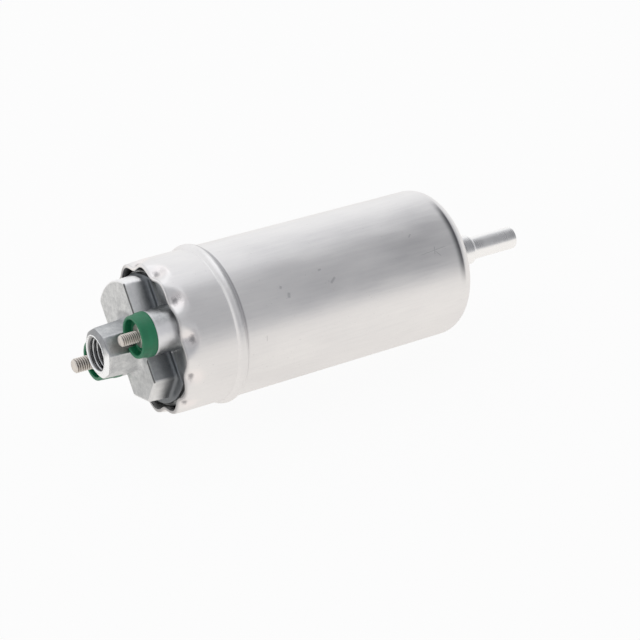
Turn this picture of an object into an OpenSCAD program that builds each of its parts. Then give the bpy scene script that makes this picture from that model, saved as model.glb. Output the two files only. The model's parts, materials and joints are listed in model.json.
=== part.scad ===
// In-line electric fuel pump. The pump lies on its side: +X runs along its axis from the outlet cap
// to the inlet pipe, +Z is up, and the origin is on the axis, in the middle of the can's clamping length.

/* [Can] */
// Outer radius of the can
can_r = 26; // [24:0.5:29]
// Wall of the drawn can
can_wall = 1.2; // [0.8:0.1:1.6]
// Straight length that the clamp band grips, from the bead to the shoulder
clamp_len = 86; // [84:1:100]
// Radius of the rounded far shoulder
shoulder_r = 6; // [4:0.5:7]
// Width of the rolled bead
bead_w = 4; // [3:0.5:5]
// How far the bead stands out of the can
bead_h = 1.25; // [0.6:0.05:1.6]
// Length of the mouth, from the rim to the bead
mouth_len = 19.3; // [18:0.1:24]

/* [Crimps] */
// Number of crimps round the mouth
crimp_count = 12; // [6:1:14]
// Radius of a crimp on the can's surface
crimp_r = 4; // [3:0.25:4.5]
// Depth of a crimp
crimp_depth = 1.8; // [1:0.1:2.2]
// From the rim to the middle of a crimp
crimp_inset = 1.3; // [0.5:0.1:3]

/* [End cap] */
// Angle of the line through the studs above the horizontal
stud_roll = 37; // [0:1:90]
// Radial gap between the cap and the can
cap_gap = 0.15; // [0.1:0.05:0.3]
// From the rim down to the flange's face
flange_depth = 2.8; // [2:0.1:4]
// Thickness of the cap's floor
cap_floor = 5; // [4:0.25:6]
// Wall of the skirt behind the floor
skirt_wall = 4.15; // [3.7:0.05:4.6]
// Height of the plinth under the block
plinth_h = 1.5; // [0.5:0.1:3]
// How far the plinth stands out of the block
plinth_step = 2.6; // [1:0.1:4]
// Height of the block above the flange
block_h = 9.35; // [8:0.05:12]
// Half width of the block's wide lobe
lobe_half_w = 11.35; // [10:0.05:12]
// Half width of the block's narrow lobe
narrow_half_w = 9.5; // [8.5:0.1:11]
// From the flange's edge to the wide lobe's round end
lobe_inset = 3.15; // [2.7:0.05:4.5]
// From the flange's edge to the narrow lobe's blunt point
narrow_inset = 4.85; // [3.6:0.05:6.5]
// Angle of the narrow lobe's two end faces
narrow_end_angle = 25; // [10:1:35]
// Draft of the block's side walls
draft = 3; // [1:0.5:5]
// Radius of the fillet along the foot of the block
foot_fillet = 2.5; // [1:0.25:4]

/* [Outlet port] */
// Height of the port above the block
port_h = 12.45; // [10:0.05:16]
// Half of the size across the flats at the port's mouth
port_half = 8; // [7.5:0.05:8.6]
// Radius of the round that blunts the port's corners
port_corner_r = 8.6; // [8:0.05:9.2]
// Radius of the flat ring round the mouth
port_face_r = 6.4; // [6.1:0.1:7.2]
// Height of the cone between that ring and the flats
port_cone_h = 1.3; // [0.8:0.1:2.5]
// Draft of the flats
port_draft = 3; // [1:0.5:4]
// Radius of the fillet round the port's foot
port_fillet = 2; // [1:0.25:3]
// Radius of the threaded wall, at the thread's crests
thread_r = 5.25; // [5:0.05:5.6]
// Depth of the threaded length
thread_len = 12; // [9:0.5:12]
// Chamfer of the mouth
mouth_chamfer = 0.3; // [0.2:0.1:0.7]

/* [Studs] */
// From the flange's edge to a stud
stud_inset = 9.65; // [9.4:0.05:10.1]
// Radius of the towers that carry the studs
tower_r = 7.5; // [7:0.1:7.6]
// Radius of the larger stud
plus_r = 2.5; // [2:0.25:2.8]
// Radius of the smaller stud
minus_r = 2; // [1.5:0.25:2.5]
// Height of the larger stud's tip above the block
plus_h = 14.65; // [12:0.05:18]
// Height of the smaller stud's tip above the block
minus_h = 9.35; // [8:0.05:18]
// Radius of the stud's shoulder
stud_shoulder_r = 4; // [3.5:0.1:4.4]
// Thickness of the stud's shoulder
stud_shoulder_t = 0.8; // [0.5:0.1:1.2]
// Bore of a tower
tower_bore_r = 4.2; // [3.8:0.1:4.6]
// Radius of the stud's inner head
stud_head_r = 3.6; // [3:0.1:4]
// Thickness of the stud's inner head
stud_head_t = 1; // [0.6:0.1:1.4]
// Thickness of the rubber washer under the inner head
stud_seal_t = 1; // [0.6:0.1:1.4]

/* [Insulating collars] */
// Outer radius of the collar
collar_r = 7.4; // [6.8:0.1:7.6]
// Wall of the collar
collar_wall = 1.2; // [1:0.1:2]
// Height of the collar above the block
collar_h = 5.2; // [4:0.1:7]
// Thickness of the collar's floor
collar_floor = 1.7; // [1:0.1:2.5]
// Angle that the collar leaves open towards the port
collar_gap_angle = 54; // [40:2:120]

/* [Inlet] */
// Outer radius of the inlet pipe
pipe_r = 4; // [3.5:0.25:5]
// Bore radius of the inlet pipe
pipe_bore_r = 3.1; // [2.6:0.1:4]
// Reach of the pipe beyond the can
pipe_len = 34.7; // [24:0.1:45]
// Round of the pipe's tip
pipe_round = 0.45; // [0.2:0.05:0.8]
// Radius of the swaged collar outside the can
swage_r = 5.8; // [5:0.1:7]
// Length of the swaged collar
swage_len = 2.4; // [1.5:0.1:4]
// Radius of the pipe's flange inside the can
pipe_flange_r = 6.2; // [5.5:0.1:6.8]
// Thickness of that flange
pipe_flange_t = 1.3; // [1:0.1:1.5]
// Length of the pipe's tail behind the flange
tail_len = 2.9; // [2:0.1:3.5]

/* [Motor] */
// Radial gap between the yoke tube and the can
yoke_gap = 0.2; // [0.1:0.05:0.4]
// Wall of the yoke tube
yoke_wall = 2.6; // [2:0.1:3]
// Thickness of the magnets
magnet_t = 4.4; // [3.5:0.1:4.6]
// How much longer the magnets are than the core
magnet_overhang = 4; // [0:0.5:6]
// Angle that each magnet spans
magnet_angle = 128; // [110:2:140]
// Radial gap between the magnets and the armature
air_gap = 0.6; // [0.4:0.05:0.8]
// Free length between the windings and the base plate
motor_room = 7; // [5.5:0.5:12]
// From the cap's rear edge to the armature core
core_from_cap = 12.5; // [12:0.5:14]
// Number of armature slots
slot_count = 10; // [8:1:12]
// Length of the end turns
end_turn_len = 7.5; // [6:0.5:8]
// Radius of the shaft's journals
shaft_r = 3; // [2.5:0.1:3.5]
// Radius of the shaft between its journals
shaft_body_r = 4.2; // [4:0.1:5]
// Running clearance of the shaft in its bushes
shaft_clearance = 0.02; // [0.01:0.01:0.05]
// Outer radius of the bushes
bush_r = 5; // [4.8:0.1:5.5]
// How much smaller the flat commutator is than the core, in radius
commutator_step = 1.65; // [1:0.05:1.9]
// Thickness of the commutator's copper
commutator_t = 3.5; // [2.5:0.1:4]

/* [Brushes] */
// From the commutator's edge to the middle of a brush
brush_inset = 4; // [3.7:0.1:4.2]
// Size of a brush across the radius
brush_w = 5; // [4:0.25:5.5]
// Size of a brush along the radius
brush_d = 6; // [5:0.25:6.5]
// Length of a new brush
brush_len = 9.9; // [8:0.1:10.5]
// Clearance of a brush in its well
brush_clearance = 0.15; // [0.1:0.05:0.3]
// Wall of the guides round the brushes
guide_wall = 1.6; // [1.2:0.1:2]
// Running gap between a brush and the commutator
brush_gap = 0.1; // [0.05:0.05:0.2]

/* [Check valve] */
// Radius of the valve's body
valve_r = 5; // [4.8:0.05:5.1]
// Length of the valve's body
valve_len = 12; // [11:0.25:12.5]
// Radius of the hole in the valve's seat
seat_hole_r = 2.2; // [1.8:0.1:2.6]
// Radius of the poppet's head
poppet_r = 3.1; // [2.8:0.1:3.4]

/* [Pump] */
// Number of lobes of the inner rotor
lobes = 6; // [4:1:7]
// Thinnest wall of the pump ring, beside a screw
ring_wall = 0.57; // [0.4:0.01:1]
// Radius of the circle of teeth, over the radius of a tooth
tooth_ratio = 4.667; // [4.4:0.001:5.2]
// Radius of the circle of teeth, over the distance between the two rotors' axes
eccentricity_ratio = 8.75; // [8.5:0.05:10]
// Gap between the teeth of the two rotors
tooth_gap = 0.12; // [0.08:0.02:0.2]
// Wall of the outer rotor behind its teeth
rotor_wall = 3; // [2.5:0.1:3.2]
// Running clearance of the outer rotor in the ring
rotor_clearance = 0.08; // [0.05:0.01:0.1]
// Thickness of the pump ring
ring_t = 10; // [8:0.5:12]
// Gap at each face of the rotors
face_gap = 0.04; // [0.02:0.01:0.08]
// Thickness of the base plate
base_t = 8; // [7:0.5:9]
// Thickness of the gasket on the can's floor
gasket_t = 0.5; // [0.3:0.1:0.8]
// Thickness of the inlet cover
cover_t = 13.2; // [12.8:0.1:14]
// Radial gap between the pump stack and the can
stack_gap = 0.3; // [0.2:0.05:0.5]
// Radius of the clamping screws
screw_r = 1.5; // [1.25:0.25:1.75]
// From the edge of the pump stack to a clamping screw
screw_inset = 3.2; // [3:0.05:3.3]
// From the edge of the pump stack to the relief valve
relief_inset = 6.6; // [6.4:0.05:6.7]
// Radius of the relief ball
relief_ball_r = 2; // [1.8:0.1:2.2]

/* [Hidden] */
$fn = 96;
nil = 0.01;
fit = 0.05;
spring_sides = 6;
lead_sides = 8;
rings_per_turn = 12;

// Stations along the axis. Those that end in _z are measured outwards from the origin to the outlet,
// so that they are the negative of X. Those that end in _x are measured along +X.
bead_in_z = clamp_len / 2;
bead_out_z = bead_in_z + bead_w;
rim_z = bead_out_z + mouth_len;
flange_z = rim_z - flange_depth;
plinth_z = flange_z + plinth_h;
block_z = flange_z + block_h;
port_z = block_z + port_h;
floor_z = flange_z - cap_floor;
cap_rear_z = bead_in_z + fit;
shoulder_x = clamp_len / 2;
far_x = shoulder_x + shoulder_r;
floor_x = far_x - can_wall;
can_in_r = can_r - can_wall;

// Bead, a round roll whose crest stands bead_h proud over a width of bead_w
bead_r = (pow(bead_w / 2, 2) + pow(bead_h, 2)) / (2 * bead_h);
bead_mid_r = can_r + bead_h - bead_r;

// Crimp, a ball pressed into the wall
crimp_ball_r = (pow(crimp_r, 2) + pow(crimp_depth, 2)) / (2 * crimp_depth);
crimp_mid_r = can_r - crimp_depth + crimp_ball_r;
crimp_z = rim_z - crimp_inset;
crimp_step = 360 / crimp_count;

// Cap
cap_r = can_in_r - cap_gap;
cup_r = cap_r - skirt_wall;
lobe_end_r = cap_r - lobe_inset;
narrow_end = cap_r - narrow_inset;
stud_offset = cap_r - stud_inset;
port_foot = port_half + port_h * tan(port_draft);
tower_z = block_z;
seal_d = 2.6;
seal_groove_r = cap_r - seal_d + fit;
seal_z = (bead_out_z + floor_z) / 2 - 2;
boss_r = 8.2;

// Pump stack, from the can's floor back to the motor
stack_r = can_in_r - stack_gap;
screw_offset = stack_r - screw_inset;
screw_hole_r = screw_r + 0.15;
relief_offset = stack_r - relief_inset;
gasket_x = floor_x - gasket_t - fit;
cover_x = gasket_x - cover_t;
ring_x = cover_x - ring_t;
base_x = ring_x - base_t;
corner_r = shoulder_r - can_wall + stack_gap;
gasket_r = stack_r - corner_r;

// Motor
yoke_r = can_in_r - yoke_gap;
yoke_in_r = yoke_r - yoke_wall;
magnet_out_r = yoke_in_r - fit;
magnet_in_r = magnet_out_r - magnet_t;
core_r = magnet_in_r - air_gap;
core_x = -cap_rear_z + core_from_cap;
core_end_x = base_x - motor_room - end_turn_len;
core_len = core_end_x - core_x;
magnet_len = core_len + magnet_overhang;
commutator_r = core_r - commutator_step;
commutator_room = 4.75;
yoke_x = -cap_rear_z + fit;
magnet_x = (core_x + core_end_x - magnet_len) / 2;
commutator_x = -cap_rear_z - commutator_room;
commutator_end_x = commutator_x + commutator_t;
washer_t = 1.2;
flat_depth = 0.6;
segment_gap = 0.6;
segment_cut = 1;
clip_inset = 2;
clip_t = 0.7;
slot_floor_r = 8.2;
slot_w = 2 * PI * slot_floor_r / slot_count - 2.4;
slot_mouth_w = 1.8;
end_turn_in_r = 7.2;
end_turn_round = 1.5;
hub_r = 6.6;
cap_bush_z = -commutator_x + washer_t + 0.4;
cap_bush_len = 5.6;
pump_bush_len = base_t - 1;
washer_r = 4.4;

// Brushes
brush_offset = commutator_r - brush_inset;
brush_z = -commutator_x + brush_gap;
guide_gap = 2;
guide_z = -commutator_x + guide_gap;
well_z = block_z - 1.85;
brush_spring_z = brush_z + brush_len + fit;
brush_spring_r = 1.9;
lead_r = 0.6;
lead_bend = 4;
lead_gap = 0.3;
lead_z = floor_z - stud_seal_t - stud_head_t - 1.3;
tag_t = 0.6;
tag_w = 3;

// Check valve, in a stepped bore behind the thread
valve_bore_z = port_z - thread_len;
valve_z = valve_bore_z - valve_len - 1.3;
cavity_z = cap_bush_z + cap_bush_len;
valve_bore_r = valve_r + 0.02;
valve_wall = 1;
seat_t = 2;
poppet_t = 2;
stem_r = 1;
cage_t = 2;
cage_z = valve_z + valve_len - cage_t;

// Rotors
teeth = lobes + 1;
root_gap = 0.2;
rotor_room = screw_offset - screw_hole_r - ring_wall - rotor_clearance - rotor_wall - root_gap;
tooth_circle_r = rotor_room / (1 + 3 / eccentricity_ratio - 1 / tooth_ratio);
tooth_r = tooth_circle_r / tooth_ratio;
eccentricity = tooth_circle_r / eccentricity_ratio;
outer_root_r = tooth_circle_r - tooth_r + 2 * eccentricity + root_gap;
outer_rotor_r = outer_root_r + rotor_wall;
ring_bore_r = outer_rotor_r + rotor_clearance;
rotor_t = ring_t - 2 * face_gap;
points_per_lobe = 20;
bunching = 0.85;
port_in_r = tooth_circle_r - 5;
port_out_r = tooth_circle_r - 0.6;
port_angle = 120;
screw_head_r = 2.4;
screw_head_t = 1.6;
screw_grip = 7;

// Inlet cover
tail_x = floor_x - fit - pipe_flange_t - tail_len;
chamber_r = 6.5;
chamber_x = cover_x + 2;
relief_bore_r = relief_ball_r + 0.4;
relief_feed_r = 1.2;
relief_seat_x = cover_x + 1.5;
relief_ball_x = relief_seat_x + sqrt(pow(relief_ball_r, 2) - pow(relief_feed_r, 2)) + 0.02;
relief_plug_t = 1.8;
relief_plug_x = gasket_x - relief_plug_t - 0.6;
strainer_r = pipe_bore_r - 0.12;
strainer_wall = 0.35;

// Places its children on the pump's axis, with their z along +X.
module along_axis() {
    rotate([0, 90, 0]) children();
}

// Places its children on the cap: x along the line of the studs, z outwards.
module on_cap() {
    rotate([90 - stud_roll, 0, 0]) rotate([0, -90, 0]) children();
}

// A tube about z.
module tube(in_r, out_r, low, high) {
    translate([0, 0, low]) rotate_extrude() translate([in_r, 0]) square([out_r - in_r, high - low]);
}

// A rod about z.
module rod(r, low, high) {
    translate([0, 0, low]) cylinder(r = r, h = high - low);
}

// A round-wire compression spring about z, as one swept tube with closed ends.
module coil_spring(mean_r, wire_r, low, high, turns) {
    rings = turns * rings_per_turn;
    rise = (high - low - 2 * wire_r) / rings;
    points = [for (i = [0:rings], k = [0:spring_sides - 1])
        let (a = i * 360 / rings_per_turn, b = k * 360 / spring_sides, r = mean_r + wire_r * cos(b))
        [r * cos(a), r * sin(a), low + wire_r + i * rise + wire_r * sin(b)]];
    sides = [for (i = [0:rings - 1], k = [0:spring_sides - 1], half = [0:1])
        let (n = (k + 1) % spring_sides, p = i * spring_sides, q = p + spring_sides)
        half == 0 ? [p + k, q + k, q + n] : [p + k, q + n, p + n]];
    ends = [[for (k = [0:spring_sides - 1]) k],
        [for (k = [spring_sides - 1:-1:0]) rings * spring_sides + k]];
    polyhedron(points, concat(sides, ends));
}

// Section of the can's outside, as [radius, distance along the axis].
module can_section(r, roll_r, corner, end_x) {
    translate([0, -rim_z]) square([r, rim_z + end_x - corner]);
    translate([0, end_x - corner - nil]) square([r - corner, corner + nil]);
    translate([r - corner, end_x - corner]) circle(r = corner);
    translate([bead_mid_r, -bead_in_z - bead_w / 2]) circle(r = roll_r);
}

// The balls that press the crimps. Grown by one wall, they are the skin that they press inwards.
module crimp_balls(r) {
    for (i = [0:crimp_count - 1])
        rotate([0, 0, (i + 0.5) * crimp_step])
            translate([crimp_mid_r, 0, crimp_z])
                sphere(r = r);
}

// The can before it is crimped: a drawn cup with its rolled bead.
module drawn_cup() {
    along_axis() difference() {
        rotate_extrude() difference() {
            can_section(can_r, bead_r, shoulder_r, far_x);
            can_section(can_in_r, bead_r - can_wall, shoulder_r - can_wall, floor_x);
            translate([0, -rim_z - 1]) square([can_in_r, 2]);
        }
        rod(pipe_r + fit, floor_x - 1, far_x + 1);
    }
}

// The skin that the crimps push inwards, cut off by the rim.
module crimp_skins() {
    intersection() {
        crimp_balls(crimp_ball_r + can_wall);
        tube(can_in_r - 3, can_r - fit, crimp_z - crimp_ball_r - can_wall, rim_z);
    }
}

module pump_can() {
    color("gainsboro") {
        difference() {
            drawn_cup();
            on_cap() crimp_balls(crimp_ball_r);
        }
        on_cap() difference() {
            crimp_skins();
            crimp_balls(crimp_ball_r);
        }
    }
}

// A wall that leans inwards by the draft. Its foot is at x = half_w on the plane z = 0.
module drafted_cut(half_w, angle) {
    translate([half_w, -50, 0]) rotate([0, -angle, 0]) translate([0, 0, -20]) cube([30, 100, 60]);
}

// The wide lobe on +y, with its drafted sides and its round end.
module wide_lobe(height) {
    difference() {
        intersection() {
            translate([-20, -2, 0]) cube([40, 40, height]);
            cylinder(r1 = lobe_end_r + height * tan(draft) / 2, r2 = lobe_end_r, h = height);
        }
        for (side = [0, 1])
            mirror([side, 0, 0]) drafted_cut(lobe_half_w + height * tan(draft), draft);
    }
}

// The narrow lobe on -y, whose end is a blunt point.
module narrow_lobe(height) {
    difference() {
        translate([-20, -30, 0]) cube([40, 31, height]);
        for (side = [0, 1])
            mirror([side, 0, 0]) {
                drafted_cut(narrow_half_w + height * tan(draft), draft);
                translate([0, -narrow_end, 0])
                    rotate([0, 0, -90 + narrow_end_angle])
                        drafted_cut(height * tan(draft), draft);
            }
    }
}

// A hollow fillet along y, between a floor at z = 0 and a wall that stands at x = 0.
module fillet_strip(r, low, high) {
    translate([0, low, 0]) difference() {
        translate([-1, 0, -1]) cube([r + 1, high - low, r + 1]);
        translate([r, -1, r]) rotate([-90, 0, 0]) cylinder(r = r, h = high - low + 2);
        translate([r, -1, 0]) cube([1, high - low + 2, r]);
    }
}

module block() {
    height = block_z - plinth_z;
    translate([0, 0, plinth_z]) {
        wide_lobe(height);
        narrow_lobe(height);
        for (side = [-1, 1])
            mirror([side < 0 ? 1 : 0, 0, 0]) {
                translate([lobe_half_w + height * tan(draft) - 0.3, 0, 0])
                    fillet_strip(foot_fillet, 2, lobe_end_r - tower_r);
                translate([narrow_half_w + height * tan(draft) - 0.3, 0, 0])
                    fillet_strip(foot_fillet, tower_r - 1 - narrow_end, -2);
            }
    }
    intersection() {
        translate([0, 0, flange_z - 1]) linear_extrude(plinth_h + 1) {
            translate([-lobe_half_w - plinth_step, 0]) square([2 * (lobe_half_w + plinth_step), 30]);
            translate([-narrow_half_w - plinth_step, -30]) square([2 * (narrow_half_w + plinth_step), 30]);
        }
        rod(lobe_end_r + 0.6, flange_z - 1, plinth_z);
    }
}

// The eight-sided port, with drafted flats, blunt corners and a cone at its mouth.
module port_boss() {
    difference() {
        translate([0, 0, block_z - 1]) rotate_extrude() polygon([
            [0, 0],
            [port_corner_r + (port_h + 1) * tan(port_draft), 0],
            [port_corner_r, port_h + 1 - port_cone_h],
            [port_face_r, port_h + 1],
            [0, port_h + 1]]);
        for (i = [0:7])
            rotate([90, 0, i * 45]) linear_extrude(20, center = true) polygon([
                [port_foot, block_z],
                [port_half - tan(port_draft), port_z + 1],
                [port_foot + 5, port_z + 1],
                [port_foot + 5, block_z]]);
    }
    difference() {
        intersection() {
            translate([0, 0, block_z - 0.2]) rotate_extrude() difference() {
                square([port_corner_r + port_fillet, port_fillet + 0.2]);
                translate([port_corner_r + port_fillet, port_fillet + 0.2]) circle(r = port_fillet);
            }
            translate([0, 0, block_z - 1]) linear_extrude(port_fillet + 2) block_face();
        }
        for (side = [-1, 1])
            translate([side * stud_offset, 0, 0]) rod(collar_r + cap_gap, tower_z, tower_z + port_fillet + 1);
    }
}

// Outline of the flat that the port stands on.
module block_face() {
    translate([-lobe_half_w, -nil]) square([2 * lobe_half_w, 20]);
    translate([-narrow_half_w, -15]) square([2 * narrow_half_w, 15]);
    for (side = [-1, 1])
        translate([side * stud_offset, 0]) circle(r = tower_r - nil);
}

// The guide tube that holds a brush, on the cap's inner side.
module brush_guide() {
    w = brush_w + 2 * (brush_clearance + guide_wall);
    d = brush_d + 2 * (brush_clearance + guide_wall);
    translate([-w / 2, brush_offset - d / 2, guide_z]) cube([w, d, floor_z - guide_z + 1]);
}

// The well of a brush and the slot for its lead, which lies on the side of its own stud.
module brush_well() {
    w = brush_w + 2 * brush_clearance;
    d = brush_d + 2 * brush_clearance;
    translate([-w / 2, brush_offset - d / 2, guide_z - 1]) cube([w, d, well_z - guide_z + 1]);
    translate([0, brush_offset - lead_r - lead_gap, guide_z - 1])
        cube([brush_w, 2 * (lead_r + lead_gap), lead_z + lead_r + lead_gap - guide_z + 1]);
}

module end_cap() {
    color("darkgray") on_cap() difference() {
        union() {
            tube(cup_r, cap_r, cap_rear_z, floor_z + nil);
            rod(cap_r, floor_z, flange_z);
            block();
            port_boss();
            rod(boss_r, cap_bush_z + 0.2, floor_z + nil);
            for (side = [-1, 1]) {
                translate([side * stud_offset, 0, 0]) rod(tower_r, flange_z - 1, tower_z);
                rotate([0, 0, side < 0 ? 180 : 0]) brush_guide();
            }
        }
        translate([0, 0, crimp_z]) rotate_extrude()
            translate([crimp_mid_r, 0]) circle(r = crimp_ball_r + can_wall + cap_gap);
        tube(seal_groove_r - fit, cap_r + 1, seal_z - seal_d / 2 - 0.2, seal_z + seal_d / 2 + 0.2);
        rod(thread_r, valve_bore_z, port_z + 1);
        translate([0, 0, port_z - mouth_chamfer])
            cylinder(r1 = thread_r, r2 = thread_r + mouth_chamfer + nil, h = mouth_chamfer + nil);
        rod(valve_bore_r, valve_z - fit, valve_bore_z + nil);
        rod(bush_r - 0.5, cavity_z, valve_z);
        rod(bush_r + 0.02, cap_bush_z - 1, cavity_z);
        translate([0, 0, cavity_z + 1.6]) rotate([0, 90, 0]) cylinder(r = 1.4, h = 2 * boss_r + 2, center = true);
        for (side = [-1, 1]) {
            translate([side * stud_offset, 0, 0]) rod(tower_bore_r, floor_z - 1, tower_z + 1);
            rotate([0, 0, side < 0 ? 180 : 0]) brush_well();
        }
    }
}

module cap_seal() {
    color("#202020") along_axis() translate([0, 0, -seal_z]) rotate_extrude()
        translate([seal_groove_r + seal_d / 2, 0]) circle(r = seal_d / 2);
}

// A terminal stud: thread, shoulder, shank and riveted inner head.
module stud(r, height) {
    head_z = floor_z - stud_seal_t - stud_head_t;
    foot_z = tower_z + collar_floor;
    rod(stud_head_r, head_z, head_z + stud_head_t);
    rod(r, head_z, tower_z + height - 0.5);
    rod(stud_shoulder_r, foot_z + fit, foot_z + fit + stud_shoulder_t);
    translate([0, 0, tower_z + height - 0.5]) cylinder(r1 = r, r2 = r - 0.5, h = 0.5);
}

module stud_plus() {
    color("tan") on_cap() translate([-stud_offset, 0, 0]) stud(plus_r, plus_h);
}

module stud_minus() {
    color("tan") on_cap() translate([stud_offset, 0, 0]) stud(minus_r, minus_h);
}

// An insulating collar: a sleeve in the tower, a floor on the tower and a wall that opens towards -x.
module collar(hole_r) {
    foot_z = tower_z + collar_floor;
    difference() {
        union() {
            rod(tower_bore_r - fit, floor_z, tower_z + nil);
            rod(collar_r, tower_z, tower_z + collar_h);
        }
        rod(hole_r + fit, floor_z - 1, tower_z + collar_h);
        rod(collar_r - collar_wall, foot_z, tower_z + collar_h + 1);
        translate([0, 0, foot_z]) linear_extrude(collar_h)
            polygon([[0, 0], [-20, -20 * tan(collar_gap_angle / 2)], [-20, 20 * tan(collar_gap_angle / 2)]]);
        translate([port_foot + cap_gap - stud_offset - collar_r, -collar_r, tower_z])
            cube([collar_r, 2 * collar_r, collar_h + 1]);
    }
}

module collar_plus() {
    color("seagreen") on_cap() rotate([0, 0, 180]) translate([stud_offset, 0, 0]) collar(plus_r);
}

module collar_minus() {
    color("seagreen") on_cap() translate([stud_offset, 0, 0]) collar(minus_r);
}

module stud_seals() {
    low = floor_z - stud_seal_t + 0.02;
    color("#202020") on_cap() {
        translate([-stud_offset, 0, 0]) tube(plus_r + fit, tower_bore_r + 1, low, floor_z - 0.02);
        translate([stud_offset, 0, 0]) tube(minus_r + fit, tower_bore_r + 1, low, floor_z - 0.02);
    }
}

module terminal_tags() {
    top = floor_z - stud_seal_t - stud_head_t - 0.02;
    color("goldenrod") on_cap() for (side = [-1, 1])
        translate([side * stud_offset, 0, top - tag_t]) {
            cylinder(r = stud_head_r - 0.4, h = tag_t);
            translate([-tag_w / 2, side > 0 ? 0 : -lead_bend - 2, 0]) cube([tag_w, lead_bend + 2, tag_t]);
        }
}

// A tube of lead_sides sides swept along a level path, given as points and headings in degrees.
module level_tube(path, headings, r) {
    rings = len(path);
    points = [for (i = [0:rings - 1], k = [0:lead_sides - 1])
        let (b = k * 360 / lead_sides, across = r * cos(b))
        [path[i][0] - across * sin(headings[i]), path[i][1] + across * cos(headings[i]), r * sin(b)]];
    sides = [for (i = [0:rings - 2], k = [0:lead_sides - 1], half = [0:1])
        let (n = (k + 1) % lead_sides, p = i * lead_sides, q = p + lead_sides)
        half == 0 ? [p + n, q + n, q + k] : [p + n, q + k, p + k]];
    ends = [[for (k = [lead_sides - 1:-1:0]) k],
        [for (k = [0:lead_sides - 1]) (rings - 1) * lead_sides + k]];
    polyhedron(points, concat(sides, ends));
}

// A brush's lead on the +x side: along +y under its tag, a round bend, then inwards to the brush.
module brush_lead() {
    bend_y = brush_offset - lead_bend;
    bend_x = stud_offset - lead_bend;
    steps = 6;
    turns = [for (i = [0:steps]) i * 90 / steps];
    path = concat([[stud_offset, lead_bend - 1.5]],
        [for (t = turns) [bend_x + lead_bend * cos(t), bend_y + lead_bend * sin(t)]],
        [[brush_w / 2 + lead_gap, brush_offset]]);
    translate([0, 0, lead_z])
        level_tube(path, concat([90], [for (t = turns) 90 + t], [180]), lead_r);
}

module brush_leads() {
    color("peru") on_cap() for (side = [0, 180])
        rotate([0, 0, side]) brush_lead();
}

// A brush, whose worn face is towards the commutator.
module brush() {
    translate([-brush_w / 2, brush_offset - brush_d / 2, brush_z]) cube([brush_w, brush_d, brush_len - 1]);
    translate([0, brush_offset, brush_z + brush_len - 1 - nil]) cylinder(r = brush_spring_r + 0.3, h = 1 + nil);
}

module brush_plus() {
    color("#404040") on_cap() rotate([0, 0, 180]) brush();
}

module brush_minus() {
    color("#404040") on_cap() brush();
}

module brush_spring() {
    translate([0, brush_offset, 0])
        coil_spring(brush_spring_r, 0.25, brush_spring_z, well_z - fit, 7);
}

module brush_spring_plus() {
    color("silver") on_cap() rotate([0, 0, 180]) brush_spring();
}

module brush_spring_minus() {
    color("silver") on_cap() brush_spring();
}

module cap_bush() {
    color("darkgoldenrod") on_cap()
        tube(shaft_r + shaft_clearance, bush_r, cap_bush_z, cavity_z - fit);
}

module valve_body() {
    color("khaki") on_cap() difference() {
        rod(valve_r, valve_z, valve_z + valve_len);
        rod(seat_hole_r, valve_z - 1, valve_z + seat_t + 1);
        rod(valve_r - valve_wall, valve_z + seat_t, valve_z + valve_len + 1);
    }
}

module valve_poppet() {
    low = valve_z + seat_t + fit;
    color("dimgray") on_cap() {
        rod(poppet_r, low, low + poppet_t);
        rod(stem_r, low + poppet_t - nil, cage_z + cage_t);
        translate([0, 0, low - 1.2]) cylinder(r1 = seat_hole_r - 0.9, r2 = seat_hole_r - 0.3, h = 1.2 + nil);
    }
}

module valve_spring() {
    color("silver") on_cap()
        coil_spring(stem_r + 0.7, 0.22, valve_z + seat_t + poppet_t + 2 * fit, cage_z - fit, 5);
}

module valve_cage() {
    color("khaki") on_cap() difference() {
        rod(valve_r - valve_wall - 0.02, cage_z, cage_z + cage_t - fit);
        rod(stem_r + 0.12, cage_z - 1, cage_z + cage_t + 1);
        for (i = [0:2])
            rotate([0, 0, i * 120]) translate([2.5, 0, 0]) rod(0.85, cage_z - 1, cage_z + cage_t + 1);
    }
}

module yoke_tube() {
    color("slategray") along_axis() difference() {
        tube(yoke_in_r, yoke_r, yoke_x, base_x - fit);
        translate([yoke_in_r - 1, -2, yoke_x - 1]) cube([yoke_wall + 2, 4, 4]);
    }
}

module magnets() {
    color("#303030") along_axis() for (i = [0, 1])
        rotate([0, 0, i * 180 - magnet_angle / 2]) translate([0, 0, magnet_x])
            rotate_extrude(angle = magnet_angle)
                translate([magnet_in_r, 0]) square([magnet_t, magnet_len]);
}

// Spring clips, strips with turned-in ends that push the magnets apart.
module magnet_clips() {
    span = 180 - magnet_angle - 3;
    end_angle = 2;
    color("silver") along_axis() for (i = [0, 1])
        rotate([0, 0, i * 180 + 90 - span / 2]) translate([0, 0, magnet_x + clip_inset]) {
            rotate_extrude(angle = span)
                translate([magnet_out_r - clip_t, 0]) square([clip_t, magnet_len - 2 * clip_inset]);
            for (start = [0.3, span - end_angle - 0.3])
                rotate([0, 0, start]) translate([0, 0, clip_inset / 2]) rotate_extrude(angle = end_angle)
                    translate([magnet_in_r + clip_t, 0])
                        square([magnet_t - 1.5 * clip_t, magnet_len - 3 * clip_inset]);
        }
}

module armature_shaft() {
    color("silver") along_axis() {
        rod(shaft_body_r, commutator_x, base_x - washer_t - 0.4);
        difference() {
            rod(shaft_r, -cavity_z - 1.2, cover_x - 0.15);
            translate([shaft_r - flat_depth, -shaft_body_r, ring_x])
                cube([shaft_r, 2 * shaft_body_r, ring_t]);
        }
    }
}

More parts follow.
